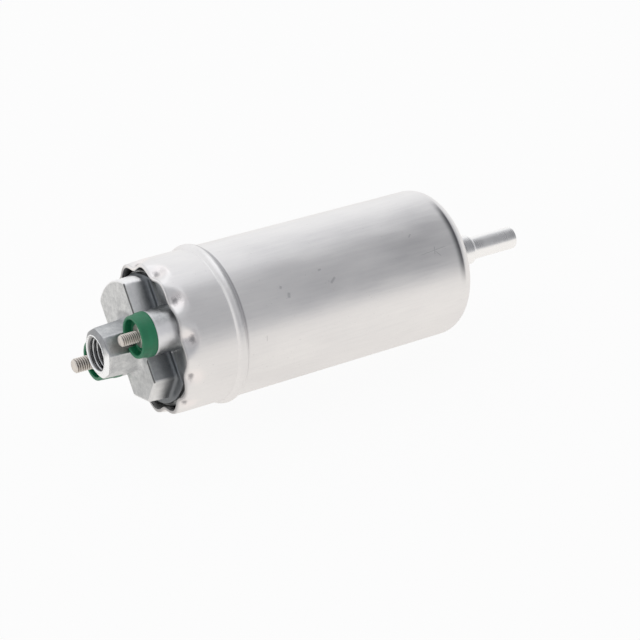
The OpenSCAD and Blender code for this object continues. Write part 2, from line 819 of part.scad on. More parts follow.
// Laminated core: a hub, teeth and their shoes, between slots.
module armature_core() {
    slot_r = core_r - 1.8;
    color("slategray") along_axis() difference() {
        rod(core_r, core_x, core_end_x);
        rod(shaft_body_r + fit, core_x - 1, core_end_x + 1);
        for (i = [0:slot_count - 1])
            rotate([0, 0, i * 360 / slot_count]) {
                translate([slot_floor_r, -slot_w / 2, core_x - 1])
                    cube([slot_r - slot_floor_r, slot_w, core_len + 2]);
                translate([slot_r - 1, -slot_mouth_w / 2, core_x - 1])
                    cube([core_r - slot_r + 2, slot_mouth_w, core_len + 2]);
            }
    }
}

module armature_windings() {
    out_r = core_r - 2.6;
    bar_w = slot_w - 0.5;
    color("peru") along_axis() {
        for (low = [core_x - end_turn_len - 0.1, core_end_x + 0.1])
            translate([0, 0, low]) rotate_extrude() {
                translate([end_turn_in_r, 0])
                    square([out_r - end_turn_in_r - end_turn_round, end_turn_len]);
                translate([end_turn_in_r, end_turn_round])
                    square([out_r - end_turn_in_r, end_turn_len - 2 * end_turn_round]);
                for (z = [end_turn_round, end_turn_len - end_turn_round])
                    translate([out_r - end_turn_round, z]) circle(r = end_turn_round);
            }
        for (i = [0:slot_count - 1])
            rotate([0, 0, i * 360 / slot_count])
                translate([slot_floor_r + 0.4, -bar_w / 2, core_x - 0.2])
                    cube([out_r - slot_floor_r - 1, bar_w, core_len + 0.4]);
    }
}

// Flat commutator: copper segments on a moulded hub.
module commutator() {
    hub_end_x = core_x - end_turn_len - 0.2;
    color("chocolate") along_axis() difference() {
        union() {
            rod(commutator_r, commutator_x, commutator_end_x);
            rod(hub_r, commutator_x, hub_end_x);
        }
        rod(shaft_body_r + fit, commutator_x - 1, hub_end_x + 1);
        for (i = [0:slot_count - 1])
            rotate([0, 0, (i + 0.5) * 360 / slot_count])
                translate([hub_r + 0.2, -segment_gap / 2, commutator_x - 1])
                    cube([commutator_r, segment_gap, segment_cut + 1]);
    }
}

module thrust_washers() {
    color("ivory") along_axis() {
        tube(shaft_r + 0.1, washer_r, commutator_x - washer_t - 0.2, commutator_x - 0.2);
        tube(shaft_r + 0.1, washer_r, base_x - washer_t - 0.2, base_x - 0.2);
    }
}

module pump_bush() {
    color("darkgoldenrod") along_axis()
        tube(shaft_r + shaft_clearance, bush_r, base_x + fit, base_x + fit + pump_bush_len);
}

// A kidney-shaped opening beside the rotors, centred on the side at angle mid.
module kidney(mid, low, high) {
    rotate([0, 0, mid - port_angle / 2]) translate([0, 0, low])
        rotate_extrude(angle = port_angle) translate([port_in_r, 0]) square([port_out_r - port_in_r, high - low]);
}

module screw_places() {
    for (i = [0:2])
        rotate([0, 0, 180 + i * 120]) translate([screw_offset, 0, 0]) children();
}

module base_plate() {
    color("lightgray") along_axis() difference() {
        rod(stack_r, base_x, ring_x);
        rod(bush_r + 0.02, base_x - 1, base_x + pump_bush_len + 2 * fit);
        rod(shaft_r + 0.3, base_x, ring_x + 1);
        kidney(-90, base_x - 1, ring_x + 1);
        screw_places() {
            rod(screw_r + fit, base_x - 1, ring_x + 1);
            rod(screw_head_r + 0.1, base_x - 1, base_x + screw_head_t + 2 * fit);
        }
        translate([relief_offset, 0, 0]) rod(relief_feed_r, base_x - 1, ring_x + 1);
    }
}

module pump_ring() {
    color("gray") along_axis() difference() {
        rod(stack_r, ring_x + 0.01, cover_x - 0.01);
        translate([-eccentricity, 0, 0]) rod(ring_bore_r, ring_x - 1, cover_x + 1);
        screw_places() rod(screw_hole_r, ring_x - 1, cover_x + 1);
        translate([relief_offset, 0, 0]) rod(relief_feed_r, ring_x - 1, cover_x + 1);
    }
}

// One point of the inner rotor's outline: the envelope of the outer rotor's round teeth.
function rotor_point(t, r) =
    let (lean = atan2(sin(-lobes * t), tooth_circle_r / (eccentricity * teeth) - cos(-lobes * t)))
    [tooth_circle_r * cos(t) - r * cos(t + lean) - eccentricity * cos(teeth * t),
     -tooth_circle_r * sin(t) + r * sin(t + lean) + eccentricity * sin(teeth * t)];

// The same outline with its points drawn together in the hollows, where it bends fastest.
function rotor_angle(s) = s - bunching * sin(lobes * s) * 180 / PI / lobes;

module inner_rotor() {
    steps = points_per_lobe * lobes;
    color("dimgray") along_axis() difference() {
        translate([0, 0, ring_x + face_gap]) linear_extrude(rotor_t)
            polygon([for (i = [0:steps - 1])
                rotor_point(rotor_angle(i * 360 / steps), tooth_r + tooth_gap)]);
        difference() {
            rod(shaft_r + 0.03, ring_x - 1, cover_x + 1);
            translate([shaft_r - flat_depth + fit, -shaft_body_r, ring_x - 2])
                cube([shaft_r, 2 * shaft_body_r, ring_t + 4]);
        }
    }
}

module outer_rotor() {
    low = ring_x + face_gap;
    high = low + rotor_t;
    color("gray") along_axis() translate([-eccentricity, 0, 0]) difference() {
        rod(outer_rotor_r, low, high);
        rotate([0, 0, 180 / teeth]) difference() {
            rod(outer_root_r, low - 1, high + 1);
            for (i = [0:teeth - 1])
                rotate([0, 0, (i + 0.5) * 360 / teeth])
                    translate([tooth_circle_r, 0, 0]) rod(tooth_r, low - 2, high + 2);
        }
    }
}

module inlet_cover() {
    flange_x = floor_x - fit - pipe_flange_t;
    color("lightgray") along_axis() difference() {
        rotate_extrude() {
            translate([0, cover_x]) square([stack_r, cover_t - corner_r]);
            translate([0, cover_x]) square([stack_r - corner_r, cover_t]);
            translate([stack_r - corner_r, cover_x + cover_t - corner_r]) circle(r = corner_r);
        }
        rod(pipe_flange_r + 0.2, flange_x - 0.1, gasket_x + 1);
        rod(pipe_r + fit, tail_x - 0.2, gasket_x + 1);
        rod(chamber_r, chamber_x, tail_x - 0.2);
        kidney(90, cover_x - 1, chamber_x + 3);
        translate([-3, 0, chamber_x]) cube([6, port_in_r + 1, 3]);
        translate([relief_offset, 0, 0]) {
            rod(relief_feed_r, cover_x - 1, relief_seat_x + 1);
            rod(relief_bore_r, relief_seat_x, gasket_x + 1);
        }
        translate([chamber_r - 1, 0, tail_x - 1.8]) rotate([0, 90, 0])
            cylinder(r = 1.3, h = relief_offset - chamber_r + 1);
        screw_places() rod(screw_r + fit, cover_x - 1, cover_x + screw_grip + 1);
    }
}

// Screws with hexagon sockets, whose heads are sunk in the base plate.
module pump_screws() {
    color("silver") along_axis() screw_places() translate([0, 0, base_x + fit]) difference() {
        union() {
            cylinder(r = screw_r, h = cover_x + screw_grip - base_x);
            cylinder(r = screw_head_r, h = screw_head_t);
        }
        translate([0, 0, -1]) cylinder(r = 1.2, h = 2, $fn = 6);
    }
}

module relief_ball() {
    color("silver") along_axis() translate([relief_offset, 0, relief_ball_x]) sphere(r = relief_ball_r);
}

module relief_spring() {
    color("silver") along_axis() translate([relief_offset, 0, 0])
        coil_spring(1.35, 0.2, relief_ball_x + relief_ball_r - 0.55, relief_plug_x - fit, 6);
}

module relief_plug() {
    color("darkgoldenrod") along_axis() translate([relief_offset, 0, 0])
        difference() {
            rod(relief_bore_r - 0.02, relief_plug_x, relief_plug_x + relief_plug_t);
            translate([-0.4, -3, relief_plug_x + relief_plug_t - 0.8]) cube([0.8, 6, 2]);
        }
}

module cover_gasket() {
    color("#202020") along_axis() tube(pipe_flange_r + 1, gasket_r - 0.3, gasket_x + 0.02, floor_x - 0.02);
}

module inlet_nipple() {
    tip_x = far_x + pipe_len;
    flange_x = floor_x - fit - pipe_flange_t;
    color("whitesmoke") along_axis() rotate_extrude() difference() {
        union() {
            translate([0, tail_x]) square([pipe_r, tip_x - pipe_round - tail_x]);
            translate([0, tail_x]) square([pipe_r - pipe_round, tip_x - tail_x]);
            translate([pipe_r - pipe_round, tip_x - pipe_round]) circle(r = pipe_round);
            translate([0, far_x + fit]) square([swage_r, swage_len]);
            translate([0, flange_x]) square([pipe_flange_r, pipe_flange_t]);
        }
        translate([-1, tail_x - 1]) square([1 + pipe_bore_r, tip_x - tail_x + 2]);
    }
}

module inlet_strainer() {
    low = chamber_x + 1.2;
    color("tan") along_axis() difference() {
        rod(strainer_r, low, far_x + 1);
        rod(strainer_r - strainer_wall, low + strainer_wall, far_x + 2);
    }
}

pump_can();
end_cap();
cap_seal();
stud_plus();
stud_minus();
collar_plus();
collar_minus();
stud_seals();
terminal_tags();
brush_leads();
brush_plus();
brush_minus();
brush_spring_plus();
brush_spring_minus();
cap_bush();
valve_body();
valve_poppet();
valve_spring();
valve_cage();
yoke_tube();
magnets();
magnet_clips();
armature_shaft();
armature_core();
armature_windings();
commutator();
thrust_washers();
pump_bush();
base_plate();
pump_ring();
inner_rotor();
outer_rotor();
inlet_cover();
pump_screws();
relief_ball();
relief_spring();
relief_plug();
cover_gasket();
inlet_nipple();
inlet_strainer();
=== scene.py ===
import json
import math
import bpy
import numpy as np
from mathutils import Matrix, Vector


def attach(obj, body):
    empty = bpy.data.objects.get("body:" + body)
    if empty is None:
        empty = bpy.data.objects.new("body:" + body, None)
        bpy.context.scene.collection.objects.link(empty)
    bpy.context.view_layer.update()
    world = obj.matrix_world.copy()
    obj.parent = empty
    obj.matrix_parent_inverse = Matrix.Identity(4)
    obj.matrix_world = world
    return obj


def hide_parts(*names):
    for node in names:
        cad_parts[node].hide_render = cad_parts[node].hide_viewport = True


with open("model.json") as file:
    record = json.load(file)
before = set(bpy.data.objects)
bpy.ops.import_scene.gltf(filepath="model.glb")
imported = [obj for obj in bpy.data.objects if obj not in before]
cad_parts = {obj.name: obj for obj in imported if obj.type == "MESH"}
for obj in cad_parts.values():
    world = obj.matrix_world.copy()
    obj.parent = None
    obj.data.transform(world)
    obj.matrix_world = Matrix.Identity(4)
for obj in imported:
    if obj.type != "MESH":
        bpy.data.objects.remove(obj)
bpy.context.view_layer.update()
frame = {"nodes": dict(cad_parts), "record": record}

# %% [markdown]
# # An in-line electric fuel pump
# The pump lies on its side. Its can runs along X, the outlet cap looks towards -X, and the inlet
# pipe leaves at +X. The origin is on the axis, in the middle of the length that a clamp grips.
# Sizes are worked out in millimetres, because that is how such a part is drawn, and each mesh is
# turned into metres as it is stored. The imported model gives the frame: its solids stay where they
# are, and the ones that show are dressed again here as finer surfaces.

MM = 0.001

# %% [markdown]
# ## The camera
# A long lens from the upper front left, fitted to the can's silhouette, its bead, its rim and the
# tip of the pipe. The picture is square, so the sensor's width alone sets the view.

# %% Camera
camera_data = bpy.data.cameras.new("camera")
camera_data.sensor_width = 36.0
camera_data.lens = 112.5
camera_data.clip_start, camera_data.clip_end = 0.05, 20.0
camera = bpy.data.objects.new("camera", camera_data)
bpy.context.scene.collection.objects.link(camera)
azimuth, elevation = math.radians(-33.04), math.radians(26.53)
back = Vector((math.sin(azimuth) * math.cos(elevation), -math.cos(azimuth) * math.cos(elevation),
               math.sin(elevation)))
camera.rotation_mode = "QUATERNION"
camera.rotation_quaternion = (-back).to_track_quat("-Z", "Y")
right = camera.rotation_quaternion @ Vector((1, 0, 0))
up = camera.rotation_quaternion @ Vector((0, 1, 0))
AIM_X, TO_RIGHT, UPWARDS, DISTANCE = -47.0, 40.4, 1.79, 663.04
camera.location = (Vector((AIM_X, 0, 0)) + TO_RIGHT * right + UPWARDS * up + DISTANCE * back) * MM
bpy.context.scene.camera = camera
print("camera at", [round(c / MM, 1) for c in camera.location], "mm")

# %% [markdown]
# ## Meshes from arrays
# Most pieces are a grid of points: rows along a profile, columns round an axis. Four neighbours
# make a face. The columns always close on themselves, and the rows do where a wall has two sides, so
# that no seam stays open.

# %% Grids
def grid_faces(rows, cols, wrap_rows=False):
    """Each face joins point (i, j) to its neighbours in the next row and the next column."""
    i = np.arange(rows if wrap_rows else rows - 1)[:, None]
    j = np.arange(cols)[None, :]
    down, across = (i + 1) % rows, (j + 1) % cols
    corners = (i * cols + j, i * cols + across, down * cols + across, down * cols + j)
    return np.stack(np.broadcast_arrays(*corners), -1).reshape(-1, 4)


def pole_faces(first, cols, pole, flip):
    """Triangles from a closed row of points, which starts at first, to one point at the pole."""
    j = np.arange(cols)
    ring = np.stack([first + j, first + (j + 1) % cols, np.full(cols, pole)], -1)
    return ring[:, ::-1] if flip else ring


print("a grid of 3 rows and 4 columns has", len(grid_faces(3, 4)), "faces")

# %% Pieces
def make_piece(name, parts, material, body="casing"):
    """One object from several (points in mm, faces) parts. Its place is in its mesh."""
    points, faces, start = [], [], 0
    for part_points, *face_sets in parts:
        points.append(part_points)
        for face_set in face_sets:
            faces.extend((face_set + start).tolist())
        start += len(part_points)
    mesh = bpy.data.meshes.new(name)
    mesh.from_pydata(np.concatenate(points) * MM, [], faces)
    mesh.polygons.foreach_set("use_smooth", np.full(len(faces), True))
    mesh.update()
    piece = bpy.data.objects.new(name, mesh)
    bpy.context.scene.collection.objects.link(piece)
    mesh.materials.append(material)
    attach(piece, body)
    triangles = int(sum(len(f) - 2 for f in faces))
    print(f"{name}: {len(mesh.vertices)} points, {triangles} triangles")
    return piece


def mark_points(piece, name, values):
    """Store one number for each point, for a material to read."""
    layer = piece.data.attributes.new(name, "FLOAT", "POINT")
    layer.data.foreach_set("value", np.asarray(values, np.float32))


print("a piece is smooth, and rides the casing unless told otherwise")

# %% Directions
def angles_round(columns):
    """The angles of that many columns, evenly round a circle, in degrees."""
    return np.arange(columns) * 360 / columns


def on_axis(axial, radius, angle):
    """Points at a distance along X, a radius, and an angle from -Y towards +Z, in degrees."""
    axial, radius, angle = np.broadcast_arrays(axial, radius, np.radians(angle))
    return np.stack([axial, -radius * np.cos(angle), radius * np.sin(angle)], -1).reshape(-1, 3)


STUD_ROLL = math.radians(37)


def on_cap(u, v, z):
    """Points of the cap: u along the line of the studs, v across it, z outwards along -X."""
    u, v, z = np.broadcast_arrays(u, v, z)
    c, s = math.cos(STUD_ROLL), math.sin(STUD_ROLL)
    return np.stack([-z, -u * c + v * s, u * s + v * c], -1).reshape(-1, 3)


print("the studs' line is turned by", round(math.degrees(STUD_ROLL)), "degrees")

# %% [markdown]
# ## Shader maths
# A finish is a sum of patterns. One small class wraps a socket, so that patterns can be added,
# multiplied and compared as numbers are, and one method makes any other node.

# %% The socket class
class Wire:
    """A socket that takes part in sums. Each operator adds one Math node."""

    def __init__(self, tree, socket):
        self.tree, self.socket = tree, socket

    def node(self, kind, settings=None, **inputs):
        made = self.tree.nodes.new(kind)
        for key, value in (settings or {}).items():
            setattr(made, key, value)
        for key, value in inputs.items():
            spot = made.inputs[int(key[1:])] if key[0] == "i" and key[1:].isdigit() else made.inputs[key]
            if isinstance(value, Wire):
                self.tree.links.new(value.socket, spot)
            else:
                spot.default_value = value
        return made

    def math(self, operation, other=0.0, clamp=False):
        made = self.node("ShaderNodeMath", {"operation": operation, "use_clamp": clamp}, i0=self, i1=other)
        return Wire(self.tree, made.outputs[0])

    def __add__(self, other): return self.math("ADD", other)
    def __radd__(self, other): return self.math("ADD", other)
    def __sub__(self, other): return self.math("SUBTRACT", other)
    def __mul__(self, other): return self.math("MULTIPLY", other)
    def __rmul__(self, other): return self.math("MULTIPLY", other)
    def __rsub__(self, other): return (self * -1.0).math("ADD", other)
    def __abs__(self): return self.math("ABSOLUTE")
    def limit(self): return self.math("ADD", 0.0, clamp=True)
    def sqrt(self): return self.math("SQRT")

    def ramp(self, low, high):
        """0 below low, 1 above high, with a smooth turn between them."""
        made = self.node("ShaderNodeMapRange", {"interpolation_type": "SMOOTHSTEP"},
                         Value=self, i1=low, i2=high, i3=0.0, i4=1.0)
        return Wire(self.tree, made.outputs[0])

    def tint(self, dark, light):
        """A colour that goes from dark to light as this wire goes from 0 to 1."""
        made = self.node("ShaderNodeMix", {"data_type": "RGBA"}, i0=self)
        for spot, value in ((made.inputs[6], dark), (made.inputs[7], light)):
            if isinstance(value, Wire):
                self.tree.links.new(value.socket, spot)
            else:
                spot.default_value = (*value, 1.0)
        return Wire(self.tree, made.outputs[2])

    def paint(self, mask, colour):
        """This colour, painted over with another one where the mask is 1."""
        return mask.tint(self, colour)


print("a Wire adds, multiplies, tints and paints")

# %% A finish
class Finish:
    """A new material with one Principled shader, and the patterns that its sums start from."""

    def __init__(self, name, **constants):
        self.material = bpy.data.materials.new(name)
        self.material.use_nodes = True
        self.tree = self.material.node_tree
        self.shader = self.tree.nodes["Principled BSDF"]
        for key, value in constants.items():
            spot = self.shader.inputs[key.replace("_", " ")]
            spot.default_value = (*value, 1.0) if isinstance(value, tuple) else value
        place = self.tree.nodes.new("ShaderNodeTexCoord")
        self.place = Wire(self.tree, place.outputs["Object"])
        apart = self.place.node("ShaderNodeSeparateXYZ", i0=self.place)
        self.x, self.y, self.z = (Wire(self.tree, s) * (1 / MM) for s in apart.outputs)

    def noise(self, scale, detail=4.0, stretch=(1, 1, 1), roughness=0.55, shift=0.0):
        """Noise of that many lumps a millimetre, drawn out along the axes by stretch."""
        moved = self.place.node("ShaderNodeMapping", Vector=self.place, Location=(shift, 0.0, 0.0),
                                Scale=tuple(scale / s / MM for s in stretch))
        made = self.place.node("ShaderNodeTexNoise", Vector=Wire(self.tree, moved.outputs[0]),
                               Scale=1.0, Detail=detail, Roughness=roughness)
        return Wire(self.tree, made.outputs[0])

    def attribute(self, name):
        made = self.place.node("ShaderNodeAttribute", {"attribute_name": name})
        return Wire(self.tree, made.outputs["Fac"])

    def feed(self, **wires):
        for key, wire in wires.items():
            self.tree.links.new(wire.socket, self.shader.inputs[key.replace("_", " ")])

    def relief(self, height, depth):
        """A Bump node for a height of 0 to 1 that stands for a depth in millimetres."""
        made = height.node("ShaderNodeBump", Height=height, Distance=depth * MM, Strength=1.0)
        self.tree.links.new(made.outputs[0], self.shader.inputs["Normal"])


print("a Finish has noises, attributes, feeds and a relief")

# %% [markdown]
# ## The drawn can
# A cup pressed from aluminium sheet, with a rolled bead and, at its mouth, twelve pressed crimps that
# hold the cap. One closed outline of the wall is turned about the axis: from the mouth's inner face
# round the rim, along the outside to the far end, and back inside, where the outline's last four
# stretches are the inner face. Near the mouth each crimp pushes both faces of the wall inwards, so
# that the rim turns wavy.

# %% The can's outline
CAN_R, WALL, RIM_X, FAR_X, SHOULDER_X, SHOULDER_R = 26.0, 1.2, -65.6, 49.0, 43.0, 6.0
BEAD_X, BEAD_R, BEAD_MID_R = -45.0, 2.225, 25.025
CRIMPS, CRIMP_AT, CRIMP_W, CRIMP_DEPTH = 12, 22.0, 2.9, 1.75
CRIMP_STEP = 360 / CRIMPS


def soft_min(a, b, k):
    """The smaller of two numbers, rounded off over a distance k where they are nearly equal."""
    near = np.clip(k - np.abs(a - b), 0, None) / k
    return np.minimum(a, b) - near * near * k / 4


def soft_max(a, b, k):
    """The larger of two numbers, rounded off in the same way."""
    return -soft_min(-a, -b, k)


def bead(x, level, roll_r):
    """Radius of a wall at level with a round roll that stands out of it at BEAD_X."""
    roll = BEAD_MID_R + np.sqrt(np.clip(roll_r ** 2 - (x - BEAD_X) ** 2, 0, None))
    return soft_max(np.full_like(x, level), roll, 0.22)


mouth_x = np.concatenate([np.linspace(-48.3, -59.0, 9)[:-1], np.linspace(-59.0, RIM_X + 0.4, 21)])
bead_x = np.linspace(-48.2, -41.8, 33)
turn = np.radians(np.linspace(0, 90, 16))
inner_r = CAN_R - WALL
outline = [
    (mouth_x, np.full_like(mouth_x, inner_r)),
    (RIM_X + np.array([0.15, 0.02, 0.0, 0.02, 0.15]), np.array([24.88, 25.05, 25.4, 25.75, 25.92])),
    (mouth_x[::-1], np.full_like(mouth_x, CAN_R)),
    (bead_x, bead(bead_x, CAN_R, BEAD_R)),
    (np.linspace(-41.0, SHOULDER_X - 1.5, 8), np.full(8, CAN_R)),
    (SHOULDER_X + SHOULDER_R * np.sin(turn), CAN_R - SHOULDER_R * (1 - np.cos(turn))),
    (np.array([FAR_X, FAR_X, FAR_X, FAR_X, FAR_X - 0.2]), np.array([18.0, 12.0, 7.0, 4.25, 4.08])),
    (np.array([FAR_X - WALL, FAR_X - WALL, FAR_X - WALL]), np.array([4.08, 8.0, 16.0])),
    (SHOULDER_X + 4.8 * np.sin(turn[::-3]), inner_r - 4.8 * (1 - np.cos(turn[::-3]))),
    (np.array([0.0, -40.0]), np.full(2, inner_r)),
    (bead_x[::-2], bead(bead_x[::-2], inner_r, BEAD_R - WALL)),
]
can_x = np.concatenate([a for a, _ in outline])
can_level = np.concatenate([r for _, r in outline])
print("the can's outline has", len(can_x), "points")

# %% Crimps
CAN_COLUMNS = 480
can_angle = angles_round(CAN_COLUMNS)
sway = np.random.default_rng(3)
crimp_depth_change = sway.uniform(-0.12, 0.12, CRIMPS)


def crimped(x, level, angle):
    """The wall's level less a dip at each crimp:  depth * exp(-(s / w)^2) * h(x),  where s is the way
    round from the crimp and h rises smoothly from 0 at X = -59.8 to 1 at X = -64.6. Towards the rim
    the dip gets wider and a little deeper, so that the edge turns into a wave."""
    place = (angle - CRIMP_AT) / CRIMP_STEP
    nearest = np.round(place)
    way = np.radians((place - nearest) * CRIMP_STEP) * CAN_R
    depth = CRIMP_DEPTH + crimp_depth_change[nearest.astype(int) % CRIMPS]
    rise = np.clip((-59.8 - x) / 4.8, 0, 1)
    width = CRIMP_W + 0.33 * np.clip(-62.0 - x, 0, None)
    depth = depth * (1 + 0.08 * np.clip(-63.5 - x, 0, None))
    return level - depth * np.exp(-(way / width) ** 2) * rise * rise * (3 - 2 * rise)


x, level, angle = can_x[:, None], can_level[:, None], can_angle[None, :]
can_radius = np.where(x < -58.0, crimped(x, level, angle), level)
can_points = on_axis(x, can_radius, angle)
can_faces = grid_faces(len(can_x), CAN_COLUMNS, wrap_rows=True)
INNER_FACE = 7
inner_rows = sum(len(a) for a, _ in outline[INNER_FACE:])
inward = np.zeros(len(can_x))
inward[:len(mouth_x)], inward[-inner_rows:] = 1.0, 1.0
inward[len(mouth_x):len(mouth_x) + 7] = (1.0, 1.0, 0.95, 0.85, 0.6, 0.3, 0.1)
print("deepest crimp:", round(float(CAN_R - can_radius[(can_level == CAN_R)].min()), 2), "mm")

# %% [markdown]
# ## A field and its skin
# The cast cap and the moulded collars are blends of simple bodies with soft edges. Each is written as
# a field: a number at every point of a box, below zero inside the body. Fields are joined with a
# soft minimum, which leaves the fillet that a casting has. The skin then gets one point in each
# cell that the surface crosses, and one face round each crossed edge of the lattice.

# %% Skin of a field
def skin(field, low, step):
    """Points and faces of the surface where the field is zero. A cell's point is the mean of the
    crossings on its twelve edges, each at  f0 / (f0 - f1)  along its edge."""
    inside = field < 0
    shape = tuple(n - 1 for n in field.shape)
    total = np.zeros(shape + (3,), np.float32)
    count = np.zeros(shape, np.float32)
    for axis in range(3):
        others = [a for a in range(3) if a != axis]
        for first in (0, 1):
            for second in (0, 1):
                begin, end = [None] * 3, [None] * 3
                for a, at in ((others[0], first), (others[1], second)):
                    begin[a] = end[a] = slice(at, at + shape[a])
                begin[axis], end[axis] = slice(0, shape[axis]), slice(1, shape[axis] + 1)
                begin, end = tuple(begin), tuple(end)
                crossed = inside[begin] != inside[end]
                f0, f1 = field[begin][crossed], field[end][crossed]
                place = np.zeros((len(f0), 3), np.float32)
                place[:, axis] = f0 / (f0 - f1)
                place[:, others[0]], place[:, others[1]] = first, second
                total[crossed] += place
                count[crossed] += 1
    used = count > 0
    number = np.full(shape, -1)
    number[used] = np.arange(int(used.sum()))
    points = low + step * (np.argwhere(used) + total[used] / count[used][:, None])
    faces = []
    for axis in range(3):
        p, q = (axis + 1) % 3, (axis + 2) % 3
        inner = [slice(1, -1)] * 3
        inner[axis] = slice(None, -1)
        ahead = [slice(1, -1)] * 3
        ahead[axis] = slice(1, None)
        f0, f1 = inside[tuple(inner)], inside[tuple(ahead)]
        cell = np.argwhere(f0 != f1)
        out = f0[f0 != f1]
        cell[:, p] += 1
        cell[:, q] += 1
        corner = []
        for dp, dq in ((-1, -1), (0, -1), (0, 0), (-1, 0)):
            at = cell.copy()
            at[:, p] += dp
            at[:, q] += dq
            corner.append(number[at[:, 0], at[:, 1], at[:, 2]])
        quad = np.stack(corner, -1)
        quad[~out] = quad[~out][:, ::-1]
        faces.append(quad)
    return points, np.concatenate(faces)


def lattice(low, high, step):
    """Open grids of coordinates over a box."""
    return np.meshgrid(*[np.arange(a, b + step, step, dtype=np.float32) for a, b in zip(low, high)],
                       indexing="ij", sparse=True)


def disc(x, y, z, r, low, high, round_by=0.0):
    """Field of a rod about z, with its edges rounded off by a soft maximum."""
    side, ends = np.hypot(x, y) - r, np.maximum(low - z, z - high)
    return soft_max(side, ends, round_by) if round_by else np.maximum(side, ends)


def without(body, cut):
    """Field of a body less a cut: the larger of the body and of the cut turned inside out."""
    return np.maximum(body, -cut)


test = lattice((-2, -2, -2), (2, 2, 2), 0.5)
test_points, test_faces = skin(disc(*test, 1.4, -1, 1), np.array([-2, -2, -2]), 0.5)
print("a small test rod has", len(test_points), "points and", len(test_faces), "faces")

# %% [markdown]
# ## The cast cap
# A pressure die casting: a block with a wide lobe and a narrow pointed lobe on a low plinth, two
# towers for the studs, and an eight-sided port. Its walls lean inwards by their draft, its feet carry
# fillets and its edges are blunt. A round plate under the block closes the can. The two brush wells,
# the bores of the studs and the way to the outlet run through it.

# %% The cap's outer form
FLANGE_Z, PLINTH_Z, BLOCK_Z, PORT_Z, FLOOR_Z, REAR_Z = 63.5, 65.0, 72.85, 85.3, 58.5, 43.05
CAP_R, LOBE_W, NARROW_W, LOBE_R, NARROW_END = 24.65, 11.35, 9.5, 21.5, 19.8
STUD_U, TOWER_R, TOWER_Z, DRAFT, POINT = 15.0, 7.5, 72.35, math.tan(math.radians(3)), math.radians(25)
CAP_STEP, PAST_END = 0.34, 99.0
cap_low = np.array([-23.4, -22.0, 62.6 - 13 * CAP_STEP])
u, v, z = lattice(cap_low, (23.4, 23.0, 86.2), CAP_STEP)

lean = (BLOCK_Z - z) * DRAFT
top = z - BLOCK_Z
wide = soft_max(np.abs(u) - LOBE_W - lean, np.hypot(u, v) - LOBE_R - lean / 2, 1.2)
wide = np.maximum(wide, -2.0 - v)
point = np.abs(u) * math.sin(POINT) - (v + NARROW_END) * math.cos(POINT)
narrow = soft_max(soft_max(np.abs(u) - NARROW_W - lean, point - lean, 0.8), v - 1.0, 0.3)
block = soft_max(soft_min(wide, narrow, 0.6), top, 0.55)
plinth_w = np.where(v > 0, LOBE_W, NARROW_W) + 2.6
plinth = soft_max(np.maximum(np.abs(u) - plinth_w, np.hypot(u, v) - LOBE_R - 0.6), z - PLINTH_Z, 0.4)
towers = disc(np.abs(u) - STUD_U, v, z, TOWER_R, 0.0, TOWER_Z, 0.4)
cap = soft_min(soft_min(block, plinth, 1.3), towers, 1.1)
print("the cap's lattice has", cap.shape, "points")

# %% The port
PORT_HALF, PORT_CORNER, PORT_FACE, PORT_DRAFT = 8.0, 8.6, 6.4, math.tan(math.radians(3))
down = PORT_Z - z
flats = np.full_like(cap, -PAST_END)
for i in range(4):
    a = i * math.pi / 4
    flats = np.maximum(flats, np.abs(u * math.cos(a) + v * math.sin(a)) - PORT_HALF - down * PORT_DRAFT)
corner = np.hypot(u, v) - PORT_CORNER - down * PORT_DRAFT
slope = math.atan2(PORT_CORNER - PORT_FACE, 1.3)
mouth_cone = (np.hypot(u, v) - PORT_FACE) * math.cos(slope) - down * math.sin(slope)
port = soft_max(soft_max(flats, corner, 0.3), soft_max(mouth_cone, z - PORT_Z, 0.2), 0.35)
port = np.maximum(port, 70.0 - z)
cap = soft_min(cap, port, 2.0)
print("port field from", round(float(port.min()), 1), "to", round(float(port.max()), 1))

# %% Bores of the cap
THREAD_ROOT, THREAD_FOOT, VALVE_R, STUD_BORE, PLATE_R = 6.15, 73.3, 5.02, 4.2, 20.2
cap = np.minimum(np.maximum(cap, 63.0 - z), disc(u, v, z, PLATE_R, FLOOR_Z, 63.2))
cap = without(cap, disc(u, v, z, THREAD_ROOT, THREAD_FOOT, PAST_END))
cap = without(cap, disc(u, v, z, VALVE_R, 0.0, 74.0))
cap = without(cap, disc(np.abs(u) - STUD_U, v, z, STUD_BORE, 0.0, PAST_END))
well = np.maximum(np.maximum(np.abs(u) - 2.8, np.abs(np.abs(v) - 11.3) - 3.3), z - 71.0)
cap = without(cap, well)
cap_points, cap_faces = skin(cap, cap_low, CAP_STEP)
cap_points = on_cap(cap_points[:, 0], cap_points[:, 1], cap_points[:, 2])
print("the cast form has", len(cap_faces), "faces")

# %% [markdown]
# ## Turned parts and threads
# A turned part is its outline carried round an axis. A thread is the same grid, with a wave that
# climbs by one pitch in each turn. Towers and collars stand on the cap, so these parts are written
# in the cap's own directions.

# %% Threads and turned parts
def thread_wave(z, angle, pitch):
    """0 at the thread's root and 1 on its flat crest. The phase is  z / pitch - angle / 360."""
    phase = (z / pitch - angle / 360.0) % 1.0
    return np.clip(1.35 * np.abs(2 * phase - 1) - 0.15, 0, 1)


